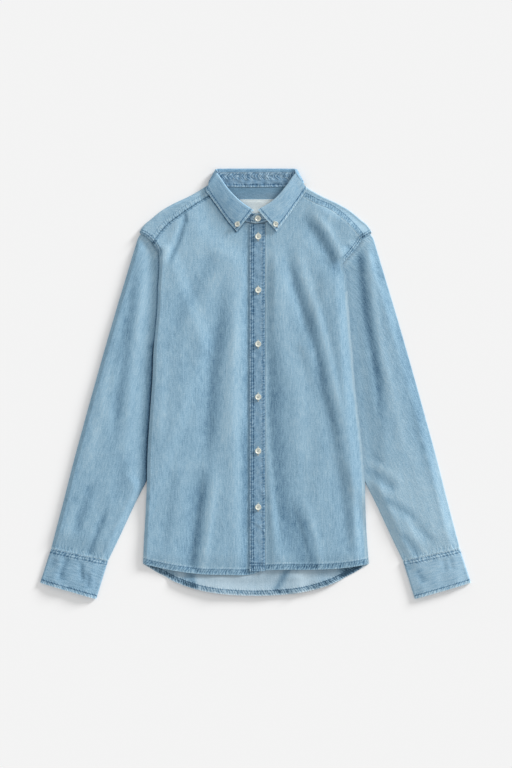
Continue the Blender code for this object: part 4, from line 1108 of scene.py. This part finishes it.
def makePlacket():
    across, along = placket["cells"]
    y, x = np.meshgrid(np.linspace(placket["bottom"], placket["top"], along + 1),
                       np.linspace(placket["left"], placket["right"], across + 1), indexing="ij")
    middle = (x - body["placketX"]) / placket["halfWide"]
    z = placket["topZ"] + 0.25 * ripple(x, y, 8, 9, 70) - 0.5 * np.abs(middle) ** 6
    z = z + 0.55 * creases(x, y, 30, 26, 71) * ease(-40, -250, y)
    left, right = placket["left"], placket["right"]
    top, bottom = placket["top"], placket["bottom"]
    leftEdge, rightEdge = [(left, top), (left, bottom)], [(right, top), (right, bottom)]
    lowEdge = [(left, bottom), (right, bottom)]
    tone = -0.05 + 0.12 * ripple(x, y, 5, 6, 72) + 0.14 * ease(-2, 16, x) + lineTone([
        {"line": leftEdge, "tone": 0.6, "wide": 1.3, "off": 0.9},
        {"line": rightEdge, "tone": -0.4, "wide": 1.3},
        {"line": lowEdge, "tone": 0.4, "wide": 1.4},
    ], x, y)
    seamOne = seamField([{"line": leftEdge, "band": 7.0, "rows": (3.0, 7.05), "pucker": 7.3, "slant": 0.2,
                          "strength": 0.75}], x, y)
    seamTwo = seamField([
        {"line": rightEdge, "band": 5.4, "rows": (3.4, noRow), "pucker": 6.4, "slant": -0.2, "strength": 0.75,
         "groove": 0.55},
        {"line": lowEdge, "band": 14.0, "rows": (10.0, 15.0), "pucker": 4.4, "strength": 0.9},
    ], x, y)
    return clothPiece("placketBand", "front_band", np.stack([x, y, z], -1), placket["cloth"],
                      (placketDenim, denimInside), np.stack([x, y], -1), tone, seamOne, seamTwo)


placketBand = makePlacket()
print("placket made")


# collar

collar = {
    "rollRadius": 2.4,
    "leafStart": 6.5,
    "standStart": 6.9,
    "standFreeStart": 0.8,
    "leafBulge": 1.2,
    "leafCloth": 1.6,
    "standCloth": 1.5,
    "leafCells": (250, 56),  # along and down
    "standCells": (230, 22),
}
# half of it, from centre back to the front end: fold, outer edge and the stand's lower edge
collarBack = {
    "fold": ((0, 404.8, 2.4), (30, 404.8, 2.4), (50, 404.8, 2.4), (63, 404.5, 2.4)),
    "edge": ((0, 364.6, 0), (30, 364.8, 0), (51, 368.0, 0), (66, 374.8, 0)),
    "neck": ((0, 370.0, 3.8), (32, 370.2, 3.8), (55, 371.0, 3.8), (73, 373.0, 3.8)),
}
collarCrease = {
    "fold": (72.6, 402.2, 5.2, 1.8), "edge": (88.4, 376.0, 4.1, 2.6), "neck": (86.6, 376.0, 4.2, 0.4),
    "outward": (0.85, 0.53),
    "tail": (-1.4, 2.2, 0.0),  # the fold of its lower layer runs on smoothly into the back's
}
collarFront = {
    "fold": ((74.0, 399.0, 8.4), (66.5, 387.0, 9.8), (56.1, 371.5, 11.0), (44.5, 358.0, 11.7),
             (27.5, 342.0, 11.6), (9.6, 327.5, 9.8)),
    "edge": ((94.4, 367.6, 7.8), (87.1, 353.1, 7.4), (76.7, 338.6, 7.0), (64.7, 321.6, 6.7), (51.5, 303.8, 6.3),
             (37.7, 286.2, 5.7)),
    "neck": ((88.2, 371.5, 4.7), (81.5, 358.0, 4.5), (70.2, 345.0, 4.2), (56.5, 332.0, 3.9), (41.0, 319.0, 3.5),
             (24.0, 307.0, 3.1)),
    "lap": (0, 0, 0, 0.2, 0.6, 1.6),
}
# where each half's last fold and tip lie: the upper one comes further over
collarTips = {-1: {"fold": (4.6, 326.0, 9.8), "edge": (36.3, 286.2, 5.7)},
              1: {"fold": (2.6, 326.5, 9.8), "edge": (39.0, 286.2, 5.7)}}
standEnd = {
    "fold": ((2.0, 320.5, 6.8), (-6.0, 316.0, 5.6), (-10.5, 310.5, 5.0)),
    "neck": ((9.0, 303.0, 2.4), (-2.0, 301.8, 2.1), (-9.0, 303.6, 2.1)),
    "lap": (2.8, 3.2, 3.2),
}


def collarStation(table, i, angle, leaf, upper):
    lap = np.array([0, 0, table["lap"][i] * upper if "lap" in table else 0.0])
    row = {"fold": np.array(table["fold"][i]) + lap, "neck": np.array(table["neck"][i]) + lap}
    row["edge"] = np.array(table["edge"][i]) + lap if leaf else row["neck"]
    row.update(angle=angle, leaf=leaf, outward=np.zeros(3))
    return row


def creaseStation(angle):
    turn = math.radians(angle)
    outX, outY = collarCrease["outward"]
    swing = np.array([outX * math.cos(turn), outY * math.cos(turn), math.sin(turn)])
    row = {"angle": angle, "leaf": True, "outward": np.array([outX, outY, 0.0])}
    for end in ("fold", "edge", "neck"):
        row[end] = np.array(collarCrease[end][:3]) + collarCrease[end][3] * swing
    row["fold"] = row["fold"] + np.array(collarCrease["tail"]) * max(0.0, -math.sin(turn)) ** 2
    return row


# stations from the left front end round the back to the right front end
def collarStations():
    halves = []
    for sign, upper in ((-1, 0), (1, 1)):
        half = [collarStation(collarBack, i, -90.0, True, 0) for i in range(4)]
        half += [creaseStation(angle) for angle in (-90.0, -45.0, 0.0, 45.0, 90.0)]
        table = dict(collarFront)
        for name, spot in collarTips[sign].items():
            table[name] = collarFront[name][:-1] + (spot,)
        half += [collarStation(table, i, 90.0, True, upper) for i in range(6)]
        half += [collarStation(standEnd, i, 90.0, False, upper) for i in range(3)]
        for row in half:
            for name in ("fold", "edge", "neck", "outward"):
                row[name] = row[name] * np.array([sign, 1, 1])
        halves.append(half)
    return halves[0][:0:-1] + halves[1]


def leafFacing(row):
    turn = math.radians(row["angle"])
    normal = row["outward"] * math.cos(turn) + np.array([0, 0, math.sin(turn)])
    run = row["edge"] - row["fold"]
    run = run / np.linalg.norm(run)
    normal = normal - run * normal.dot(run)
    return normal / np.linalg.norm(normal)


def leafSection(row, rollCells, leafCells):
    width = np.linalg.norm(row["edge"] - row["fold"])
    run = (row["edge"] - row["fold"]) / width
    normal = leafFacing(row)
    radius = collar["rollRadius"]
    bulge = collar["leafBulge"] * max(0.0, math.sin(math.radians(row["angle"])))
    spots = [(collar["leafStart"], -radius)]
    for step in range(rollCells + 1):
        turn = math.pi * (step / rollCells - 0.5)
        spots.append((radius - radius * math.cos(turn), radius * math.sin(turn)))
    for step in range(1, leafCells + 1):
        down = mix(radius, width, step / leafCells)
        share = down / width
        spots.append((down, radius * (1 - share) + bulge * math.sin(math.pi * share)))
    section = np.array([row["fold"] + run * down + normal * out for down, out in spots])
    section[:, 2] = np.maximum(section[:, 2], 0.0)
    return section


def standSection(row, cells):
    start = collar["standStart"] if row["leaf"] else collar["standFreeStart"]
    run = (row["edge"] - row["fold"]) / np.linalg.norm(row["edge"] - row["fold"])
    top = row["fold"] + run * start - leafFacing(row) * collar["rollRadius"]
    return np.array([mix(top, row["neck"], step / cells) for step in range(cells + 1)])


# more stations between the given ones, on smooth curves through them
def refineStations(grid, count):
    steps = np.linalg.norm(np.diff(grid, axis=0), axis=2).mean(1)
    knots = np.concatenate([[0], np.cumsum(np.maximum(steps, 0.5))])
    return smoothAt(knots, grid, np.linspace(0, knots[-1], count + 1))


def gridNormals(points):
    down = np.gradient(points, axis=0)
    right = np.gradient(points, axis=1)
    normal = np.cross(right, down)
    return normal / np.maximum(np.linalg.norm(normal, axis=2, keepdims=True), 1e-9)


stations = collarStations()
offset = np.array([body["collarX"], 0, 0])
leafCoarse = np.array([leafSection(row, 4, 5) for row in stations if row["leaf"]]) + offset
standCoarse = np.array([standSection(row, 4) for row in stations]) + offset


def makeLeaf():
    along, down = collar["leafCells"]
    fine = np.array([leafSection(row, 8, down - 9) for row in stations if row["leaf"]]) + offset
    fine = refineStations(fine, along)
    points = fine.transpose(1, 0, 2)  # rows from the seam over the roll to the edge, columns round the neck
    fromLeft, walked = gridLengths(points)
    fromEdge = walked[-1][None, :] - walked
    fromRight = fromLeft[:, -1:] - fromLeft
    round_ = fromLeft[-1][None, :] + 0 * fromLeft
    fromMiddle = np.abs(np.linspace(-0.5, 0.5, along + 1))
    frontShare = ease(0.2, 0.24, fromMiddle)[None, :] + 0 * fromLeft
    wave = 0.4 * ripple(round_, fromEdge, 22, 40, 80) + 0.1 * creases(round_, fromEdge, 26, 18, 81)
    normal = -gridNormals(points)
    # no relief round the sharp side folds
    calm = ease(0.6, 0.98, np.abs(normal[down // 2 + 8, :, 2]))[None, :]
    lifted = wave * ease(0, 6, fromEdge) * ease(0, 12, walked) * mix(0.3, 1.0, frontShare) * calm
    points = points + normal * lifted[..., None]
    points[..., 2] = np.maximum(points[..., 2], 0.0)
    edgeDistance = np.minimum(fromEdge, np.minimum(fromLeft, fromRight))
    tone = 0.06 * ripple(round_, fromEdge, 10, 10, 82) + 0.8 * bell(edgeDistance, 1.9)
    rightSide = np.linspace(-1, 1, along + 1)[None, :] * frontShare
    # painted light: the leaf is paler towards its right end, on the lamp's side, and darker towards its left
    tone = tone + 0.19 + 0.13 * rightSide + 0.25 * bell(walked - 8, 5) * frontShare
    tone = tone - 0.5 * (1 - frontShare)
    edgeBand = {"band": 5.4, "rows": (5.4, noRow), "pucker": 4.6, "slant": 0.6, "strength": 0.8, "groove": 0.95}
    seamOne = seamParts(round_, fromEdge, edgeBand)
    seamTwo = seamParts(walked, np.minimum(fromLeft, fromRight), edgeBand)
    return clothPiece("collarLeaf", "collar_leaf", points, collar["leafCloth"],
                      (collarDenim, collarInside), np.stack([walked, round_], -1), tone, seamOne, seamTwo)


def makeStand():
    along, down = collar["standCells"]
    fine = np.array([standSection(row, down) for row in stations]) + offset
    fine = refineStations(fine, along)
    points = fine[::-1].transpose(1, 0, 2)
    across, walked = gridLengths(points)
    fromNeck = walked[-1][None, :] - walked
    round_ = across[0][None, :] + 0 * across
    # crowded small puckers where the stand is sewn to the leaf
    wave = 0.7 * ripple(round_, walked * 1.6, 6.5, 9, 90) + 0.4 * creases(round_, walked, 12, 8, 91)
    points = points + gridNormals(points) * -(wave * ease(0, 3, walked) * ease(0, 5, fromNeck))[..., None]
    tone = 0.25 * ripple(round_, walked, 6, 10, 92) + 0.5 * bell(walked, 2.0)
    # painted light: the buttoned end is painted paler, lightening the shade on it
    tone = tone + 0.3 * bell(fromNeck, 2.0) + 0.8 * (1 - ease(24, 52, round_))  # the buttoned end is paler
    seamOne = seamParts(round_, fromNeck, {"band": 4.8, "rows": (4.5, noRow), "pucker": 6.6, "slant": 0.0})
    # chevrons of puckers along the middle
    chevrons = {"band": 5.0, "pucker": 5.4, "slant": 0.8, "strength": 1.3}
    seamTwo = seamParts(round_, np.abs(walked - 7.5), chevrons)
    return clothPiece("collarStand", "collar_stand", points, collar["standCloth"],
                      (collarInside, collarInside), np.stack([walked, round_], -1), tone, seamOne, seamTwo)


collarDenim = makeDenim("collarDenimTwill", "#275176", "#557F9F", "#82A8C2", "#B9D3DF", wornBy=1.1)
collarLeaf = makeLeaf()
collarStand = makeStand()
print("collar made")


# label

label = {"left": -29.0, "right": 35.8, "top": 347.0, "bottom": 316.5, "cloth": 1.0, "topZ": 2.5}


def makeLabel():
    left, right, top, bottom = (label[name] for name in ("left", "right", "top", "bottom"))
    y, x = np.meshgrid(np.linspace(bottom, top, 23), np.linspace(left, right, 45), indexing="ij")
    inside = np.minimum(np.minimum(x - left, right - x), np.minimum(y - bottom, top - y))
    z = label["topZ"] + 0.35 * ripple(x, y, 16, 10, 95) * ease(0, 6, inside) + 0.5 * ease(0, 5, inside)
    return clothPiece("neckLabel", "neck_label", np.stack([x, y, z], -1), label["cloth"],
                      (labelCotton, labelCotton), np.stack([x, y], -1), 0 * x)


neckLabel = makeLabel()
print("label made")


# buttons

button = {"radius": 5.7, "high": 2.4, "lift": 0.45, "x": 5.1, "y": (277.0, 176.5, 75.0, -24.5, -126.0, -231.5),
          "holeRadius": 0.75, "holeOff": 1.5, "rim": 1.25, "dish": 0.65, "pointScale": 0.86}


# one turned button at the origin: rim, dish and four holes
def turnButton():
    bpy.ops.object.select_all(action="DESELECT")
    radius, high = button["radius"] * mm, button["high"] * mm
    bpy.ops.mesh.primitive_cylinder_add(vertices=32, radius=radius, depth=high, location=(0, 0, high / 2))
    disc = bpy.context.active_object
    bpy.ops.object.transform_apply(location=True, rotation=False, scale=False)
    for face in disc.data.polygons:
        face.select = face.normal.z > 0.9
    for edge in disc.data.edges:
        edge.select = False
    bpy.ops.object.mode_set(mode="EDIT")
    bpy.ops.mesh.select_mode(type="FACE")
    bpy.ops.mesh.inset(thickness=button["rim"] * mm, depth=0)
    bpy.ops.mesh.inset(thickness=0.5 * mm, depth=-button["dish"] * mm)
    bpy.ops.object.mode_set(mode="OBJECT")
    edges = disc.modifiers.new("rounding", "BEVEL")
    edges.width = 0.38 * mm
    edges.segments = 2
    bpy.ops.object.modifier_apply(modifier="rounding")
    cutters = []
    for turn in range(4):
        angle = math.pi / 4 + turn * math.pi / 2
        off = button["holeOff"] * mm
        bpy.ops.object.select_all(action="DESELECT")
        bpy.ops.mesh.primitive_cylinder_add(vertices=10, radius=button["holeRadius"] * mm, depth=4 * high,
                                            location=(off * math.cos(angle), off * math.sin(angle), high / 2))
        cutters.append(bpy.context.active_object)
    bpy.ops.object.select_all(action="DESELECT")
    for cutter in cutters:
        cutter.select_set(True)
    bpy.context.view_layer.objects.active = cutters[0]
    bpy.ops.object.join()
    cutter = bpy.context.active_object
    bpy.ops.object.select_all(action="DESELECT")
    disc.select_set(True)
    bpy.context.view_layer.objects.active = disc
    holes = disc.modifiers.new("holes", "BOOLEAN")
    holes.operation = "DIFFERENCE"
    holes.object = cutter
    bpy.ops.object.modifier_apply(modifier="holes")
    bpy.data.objects.remove(cutter, do_unlink=True)
    disc.data.materials.clear()
    disc.data.materials.append(buttonResin)
    disc.data.shade_smooth()
    disc.data.set_sharp_from_angle(angle=math.radians(40))
    return disc


def pointOn(grid, along, down):
    i, j = min(int(along), grid.shape[0] - 2), min(int(down), grid.shape[1] - 2)
    s, t = along - i, down - j
    low = mix(grid[i, j], grid[i + 1, j], s)
    high = mix(grid[i, j + 1], grid[i + 1, j + 1], s)
    normal = np.cross(grid[i + 1, j] - grid[i, j], grid[i, j + 1] - grid[i, j])
    normal = normal / np.linalg.norm(normal)
    return mix(low, high, t), normal * np.sign(normal[2])


buttonPlaces = []
for number, y in enumerate(button["y"], start=1):
    spot = (button["x"], y, placket["topZ"])
    buttonPlaces.append((f"frontButton{number}", f"button_front_{number}", spot, (0, 0, 1)))
for name, node, along in (("collarButtonRight", "button_collar_right", 0.33),
                          ("collarButtonLeft", "button_collar_left", len(leafCoarse) - 1.33)):
    buttonPlaces.append((name, node, *pointOn(leafCoarse, along, 5 + 5 * 0.78)))
spot, normal = pointOn(standCoarse, len(standCoarse) - 2.75, 2)
buttonPlaces.append(("standButton", "button_stand", spot + normal * collar["standCloth"], normal))

modelButton = turnButton()
for name, node, spot, normal in buttonPlaces:
    copy = bpy.data.objects.new(name, modelButton.data.copy())
    bpy.context.scene.collection.objects.link(copy)
    copy.data.name = name
    up = Vector([float(v) for v in normal])
    place = up.to_track_quat("Z", "Y").to_matrix().to_4x4()
    if name.startswith("collar"):  # a size smaller
        copy.data.transform(Matrix.Diagonal((button["pointScale"], button["pointScale"], 1, 1)))
    place.translation = (Vector([float(v) for v in spot]) + up * button["lift"]) * mm
    copy.data.transform(place)
    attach(copy, "root")
    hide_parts(node)
bpy.data.objects.remove(modelButton, do_unlink=True)
print("buttons made")


# stitches: small capsules of thread laid on the cloth

stitch = {"pitch": 3.0, "long": 2.3, "thick": 0.62, "sunk": 0.12, "dropFrom": 60.0}


def surfaceTree(pieces):
    vertices, faces = [], []
    for piece in pieces:
        first = len(vertices)
        vertices += [vertex.co.copy() for vertex in piece.data.vertices]
        faces += [[first + i for i in face.vertices] for face in piece.data.polygons]
    return BVHTree.FromPolygons(vertices, faces)


# the highest spot of a surface at a place in mm, with its normal
def dropOn(tree, x, y):
    return tree.ray_cast(Vector((x * mm, y * mm, stitch["dropFrom"] * mm)), Vector((0, 0, -1)))[:2]


# spots every pitch along a line that is moved aside, with the line's heading
def walkLine(line, aside, pitch, ends=(0.0, 0.0)):
    spots = []
    line = np.array(line)
    steps = np.diff(line, axis=0)
    heading = steps / np.maximum(np.linalg.norm(steps, axis=1, keepdims=True), 1e-9)
    normal = np.stack([-heading[:, 1], heading[:, 0]], -1)
    corner = np.concatenate([normal[:1], (normal[:-1] + normal[1:]) / 2, normal[-1:]])
    line = line + corner * aside
    lengths = np.concatenate([[0], np.cumsum(np.linalg.norm(np.diff(line, axis=0), axis=1))])
    at = ends[0] + pitch / 2
    while at < lengths[-1] - ends[1]:
        i = min(np.searchsorted(lengths, at) - 1, len(line) - 2)
        share = (at - lengths[i]) / (lengths[i + 1] - lengths[i])
        spots.append((mix(line[i], line[i + 1], share), line[i + 1] - line[i]))
        at += pitch
    return spots


# joins a capsule for each stitch: centre, direction, normal, length and thickness in mm
def threadPiece(name, stitches, material):
    ring = [(math.cos(turn), math.sin(turn)) for turn in np.linspace(0, 2 * math.pi, 7)[:-1]]
    shape = [(-0.5, 0, 0)]
    shape += [(end, c * 0.5, s * 0.5) for end in (-0.34, 0.34) for c, s in ring]
    shape += [(0.5, 0, 0)]
    faces = [(0, 1 + (i + 1) % 6, 1 + i) for i in range(6)]
    faces += [(1 + i, 1 + (i + 1) % 6, 7 + (i + 1) % 6, 7 + i) for i in range(6)]
    faces += [(13, 7 + i, 7 + (i + 1) % 6) for i in range(6)]
    vertices, allFaces = [], []
    for spot, along, up, length, thick in stitches:
        along = Vector(along).normalized()
        up = Vector(up)
        side = up.cross(along).normalized()
        up = along.cross(side).normalized()
        first = len(vertices)
        for a, b, c in shape:
            corner = Vector(spot) + along * (a * length) + side * (b * thick) + up * (c * thick)
            vertices.append(corner * mm)
        allFaces += [[first + i for i in face] for face in faces]
    mesh = bpy.data.meshes.new(name)
    mesh.from_pydata(vertices, [], allFaces)
    mesh.materials.append(material)
    mesh.shade_smooth()
    piece = bpy.data.objects.new(name, mesh)
    bpy.context.scene.collection.objects.link(piece)
    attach(piece, "root")
    return piece


# one row of stitches on what lies highest under a line
def stitchRow(tree, line, aside, pitch=None, ends=(0.0, 0.0), thick=None):
    made = []
    pitch = pitch or stitch["pitch"]
    for spot, heading in walkLine(line, aside, pitch, ends):
        hit, normal = dropOn(tree, spot[0], spot[1])
        if hit is None:
            continue
        if normal.z < 0:
            normal = -normal
        along = Vector((heading[0], heading[1], 0))
        along = along - normal * along.dot(normal)
        centre = np.array(hit) / mm + np.array(normal) * stitch["sunk"]
        length = stitch["long"] * pitch / stitch["pitch"]
        made.append((centre, along, normal, length, thick or stitch["thick"]))
    return made


def moveLine(line, dx, dy):
    return [(x + dx, y + dy) for x, y in line]


bodyTree = surfaceTree([frontUnder, frontOver, backYoke])
rows = []
for side, sign in signOf.items():
    rows += stitchRow(bodyTree, frontHemLine[side], 9.8 * sign, ends=(16, 4))
    rows += stitchRow(bodyTree, yokeSeamLine[side], 8.2 * sign, ends=(3, 8), thick=0.4)
    inner = armholeLine(side, 0.01, armholeSeen[side], 30)
    for aside in (4.0, 8.0):
        rows += stitchRow(bodyTree, inner, -aside * sign, ends=(2, 0))
threadPiece("frontStitching", rows, stitchThread)

rows = stitchRow(surfaceTree([backPanel]), backHemLine, 8.2, ends=(30, 30))
threadPiece("backHemStitching", rows, stitchThread)

cuffTree = surfaceTree([bpy.data.objects["rightCuff"], bpy.data.objects["leftCuff"]])
rows = []
for side, sign in signOf.items():
    for aside in (2.0, 7.4):
        rows += stitchRow(cuffTree, cuffLine(side, 0), aside * sign, ends=(3, 3))
    rows += stitchRow(cuffTree, cuffLine(side, 1), -6.4 * sign, ends=(3, 3))
threadPiece("cuffStitching", rows, stitchThread)

placketTree = surfaceTree([placketBand])
upright = [(placket["left"], placket["top"]), (placket["left"], placket["bottom"])]
rows = stitchRow(placketTree, moveLine(upright, 3.2, 0), 0, ends=(3, 3))
rows += stitchRow(placketTree, moveLine(upright, 24.6, 0), 0, ends=(3, 3))
level = [(placket["left"] + 1, placket["bottom"] + 10), (placket["right"] - 1, placket["bottom"] + 10)]
rows += stitchRow(placketTree, level, 0) + stitchRow(placketTree, moveLine(level, 0, 5), 0)
threadPiece("placketStitching", rows, stitchThread)

collarTree = surfaceTree([collarLeaf])
rows = []
for sign in (-1, 1):
    edge = [(body["collarX"] + sign * x, y) for x, y, _ in collarFront["edge"]]
    rows += stitchRow(collarTree, edge, -5.4 * sign, ends=(2, 6))
    frontX, frontY = collarTips[sign]["fold"][:2]
    frontEdge = [edge[-1], (body["collarX"] + sign * frontX, frontY)]
    rows += stitchRow(collarTree, frontEdge, -5.4 * sign, ends=(6, 4))
threadPiece("collarStitching", rows, stitchThread)

labelTree = surfaceTree([neckLabel])
left, right = label["left"] + 1.6, label["right"] - 1.6
top, bottom = label["top"] - 1.6, label["bottom"] + 1.6
rows = []
for line in ([(left, top), (left, bottom)], [(right, top), (right, bottom)], [(left, top), (right, top)]):
    rows += stitchRow(labelTree, line, 0, pitch=2.4, thick=0.4)
threadPiece("labelStitching", rows, paleThread)

# buttonholes: two rows of cross stitches side by side; and the threads that hold each button
leans = {"collarButtonRight": 0.55, "collarButtonLeft": -0.55, "standButton": 1.35}
standTree = surfaceTree([collarStand])
rows, held = [], []
for name, _, spot, normal in buttonPlaces:
    up = Vector([float(v) for v in normal])
    if name.startswith("front"):
        tree, long = placketTree, 17.0
    else:
        tree, long = collarTree if name.startswith("collar") else standTree, 14.0
    lean = leans.get(name, 0.0)
    heading = np.array([math.sin(lean), math.cos(lean)])
    aside = np.array([heading[1], -heading[0]])
    for off in (-0.75, 0.75):
        for step in np.arange(-long / 2, long / 2 + 0.01, 0.75):
            place = np.array(spot[:2]) + heading * step + aside * off
            hit = dropOn(tree, place[0], place[1])[0]
            if hit is not None:
                rows.append((np.array(hit) / mm, (aside[0], aside[1], 0), (0, 0, 1), 1.5, 0.7))
    centre = Vector([float(v) for v in spot]) + up * (button["lift"] + button["high"] - button["dish"] + 0.1)
    for off in (-1.06, 1.06):
        held.append((centre + Vector((off, 0, 0)), (0, 1, 0), up, 3.2, 0.8))
threadPiece("buttonholeBinding", rows, paleThread)
threadPiece("buttonThread", held, paleThread)
print("stitching made")


# floor, light and camera

def paperFloor():
    return newMaterial("palePaintedFloor", {"Base Color": linear("#F3F3F3"), "Roughness": 0.9,
                                            "Specular IOR Level": 0.0})[0]


bpy.ops.object.select_all(action="DESELECT")
bpy.ops.mesh.primitive_plane_add(size=12, location=(0, 0, -0.0002))
floor = bpy.context.active_object
floor.name = "studioFloor"
floor.data.materials.append(paperFloor())

# one low, soft lamp and an even sky, with the share of light that each gives a level surface
light = {"azimuth": 40.0, "elevation": 14.5, "spread": 14.0, "lampShare": 0.31, "skyShare": 0.695}
sun = bpy.data.objects.new("softKey", bpy.data.lights.new("softKey", "SUN"))
turn, rise = math.radians(light["azimuth"]), math.radians(light["elevation"])
sun.data.energy = light["lampShare"] * math.pi / math.sin(rise)
sun.data.angle = math.radians(light["spread"])
towards = Vector((math.cos(turn) * math.cos(rise), math.sin(turn) * math.cos(rise), math.sin(rise)))
sun.rotation_euler = towards.to_track_quat("Z", "Y").to_euler()
bpy.context.scene.collection.objects.link(sun)
world = bpy.data.worlds.new("studio")
world.use_nodes = True
world.node_tree.nodes["Background"].inputs["Color"].default_value = (1, 1, 1, 1)
world.node_tree.nodes["Background"].inputs["Strength"].default_value = light["skyShare"]
bpy.context.scene.world = world

camera = bpy.data.objects.new("camera", bpy.data.cameras.new("camera"))
camera.data.lens = 100
camera.data.sensor_width = 36
camera.location = (0.94 * mm, -0.19 * mm, 4.0136)
camera.data.clip_end = 50
bpy.context.scene.collection.objects.link(camera)
bpy.context.scene.camera = camera
bpy.context.scene.view_settings.view_transform = "Standard"
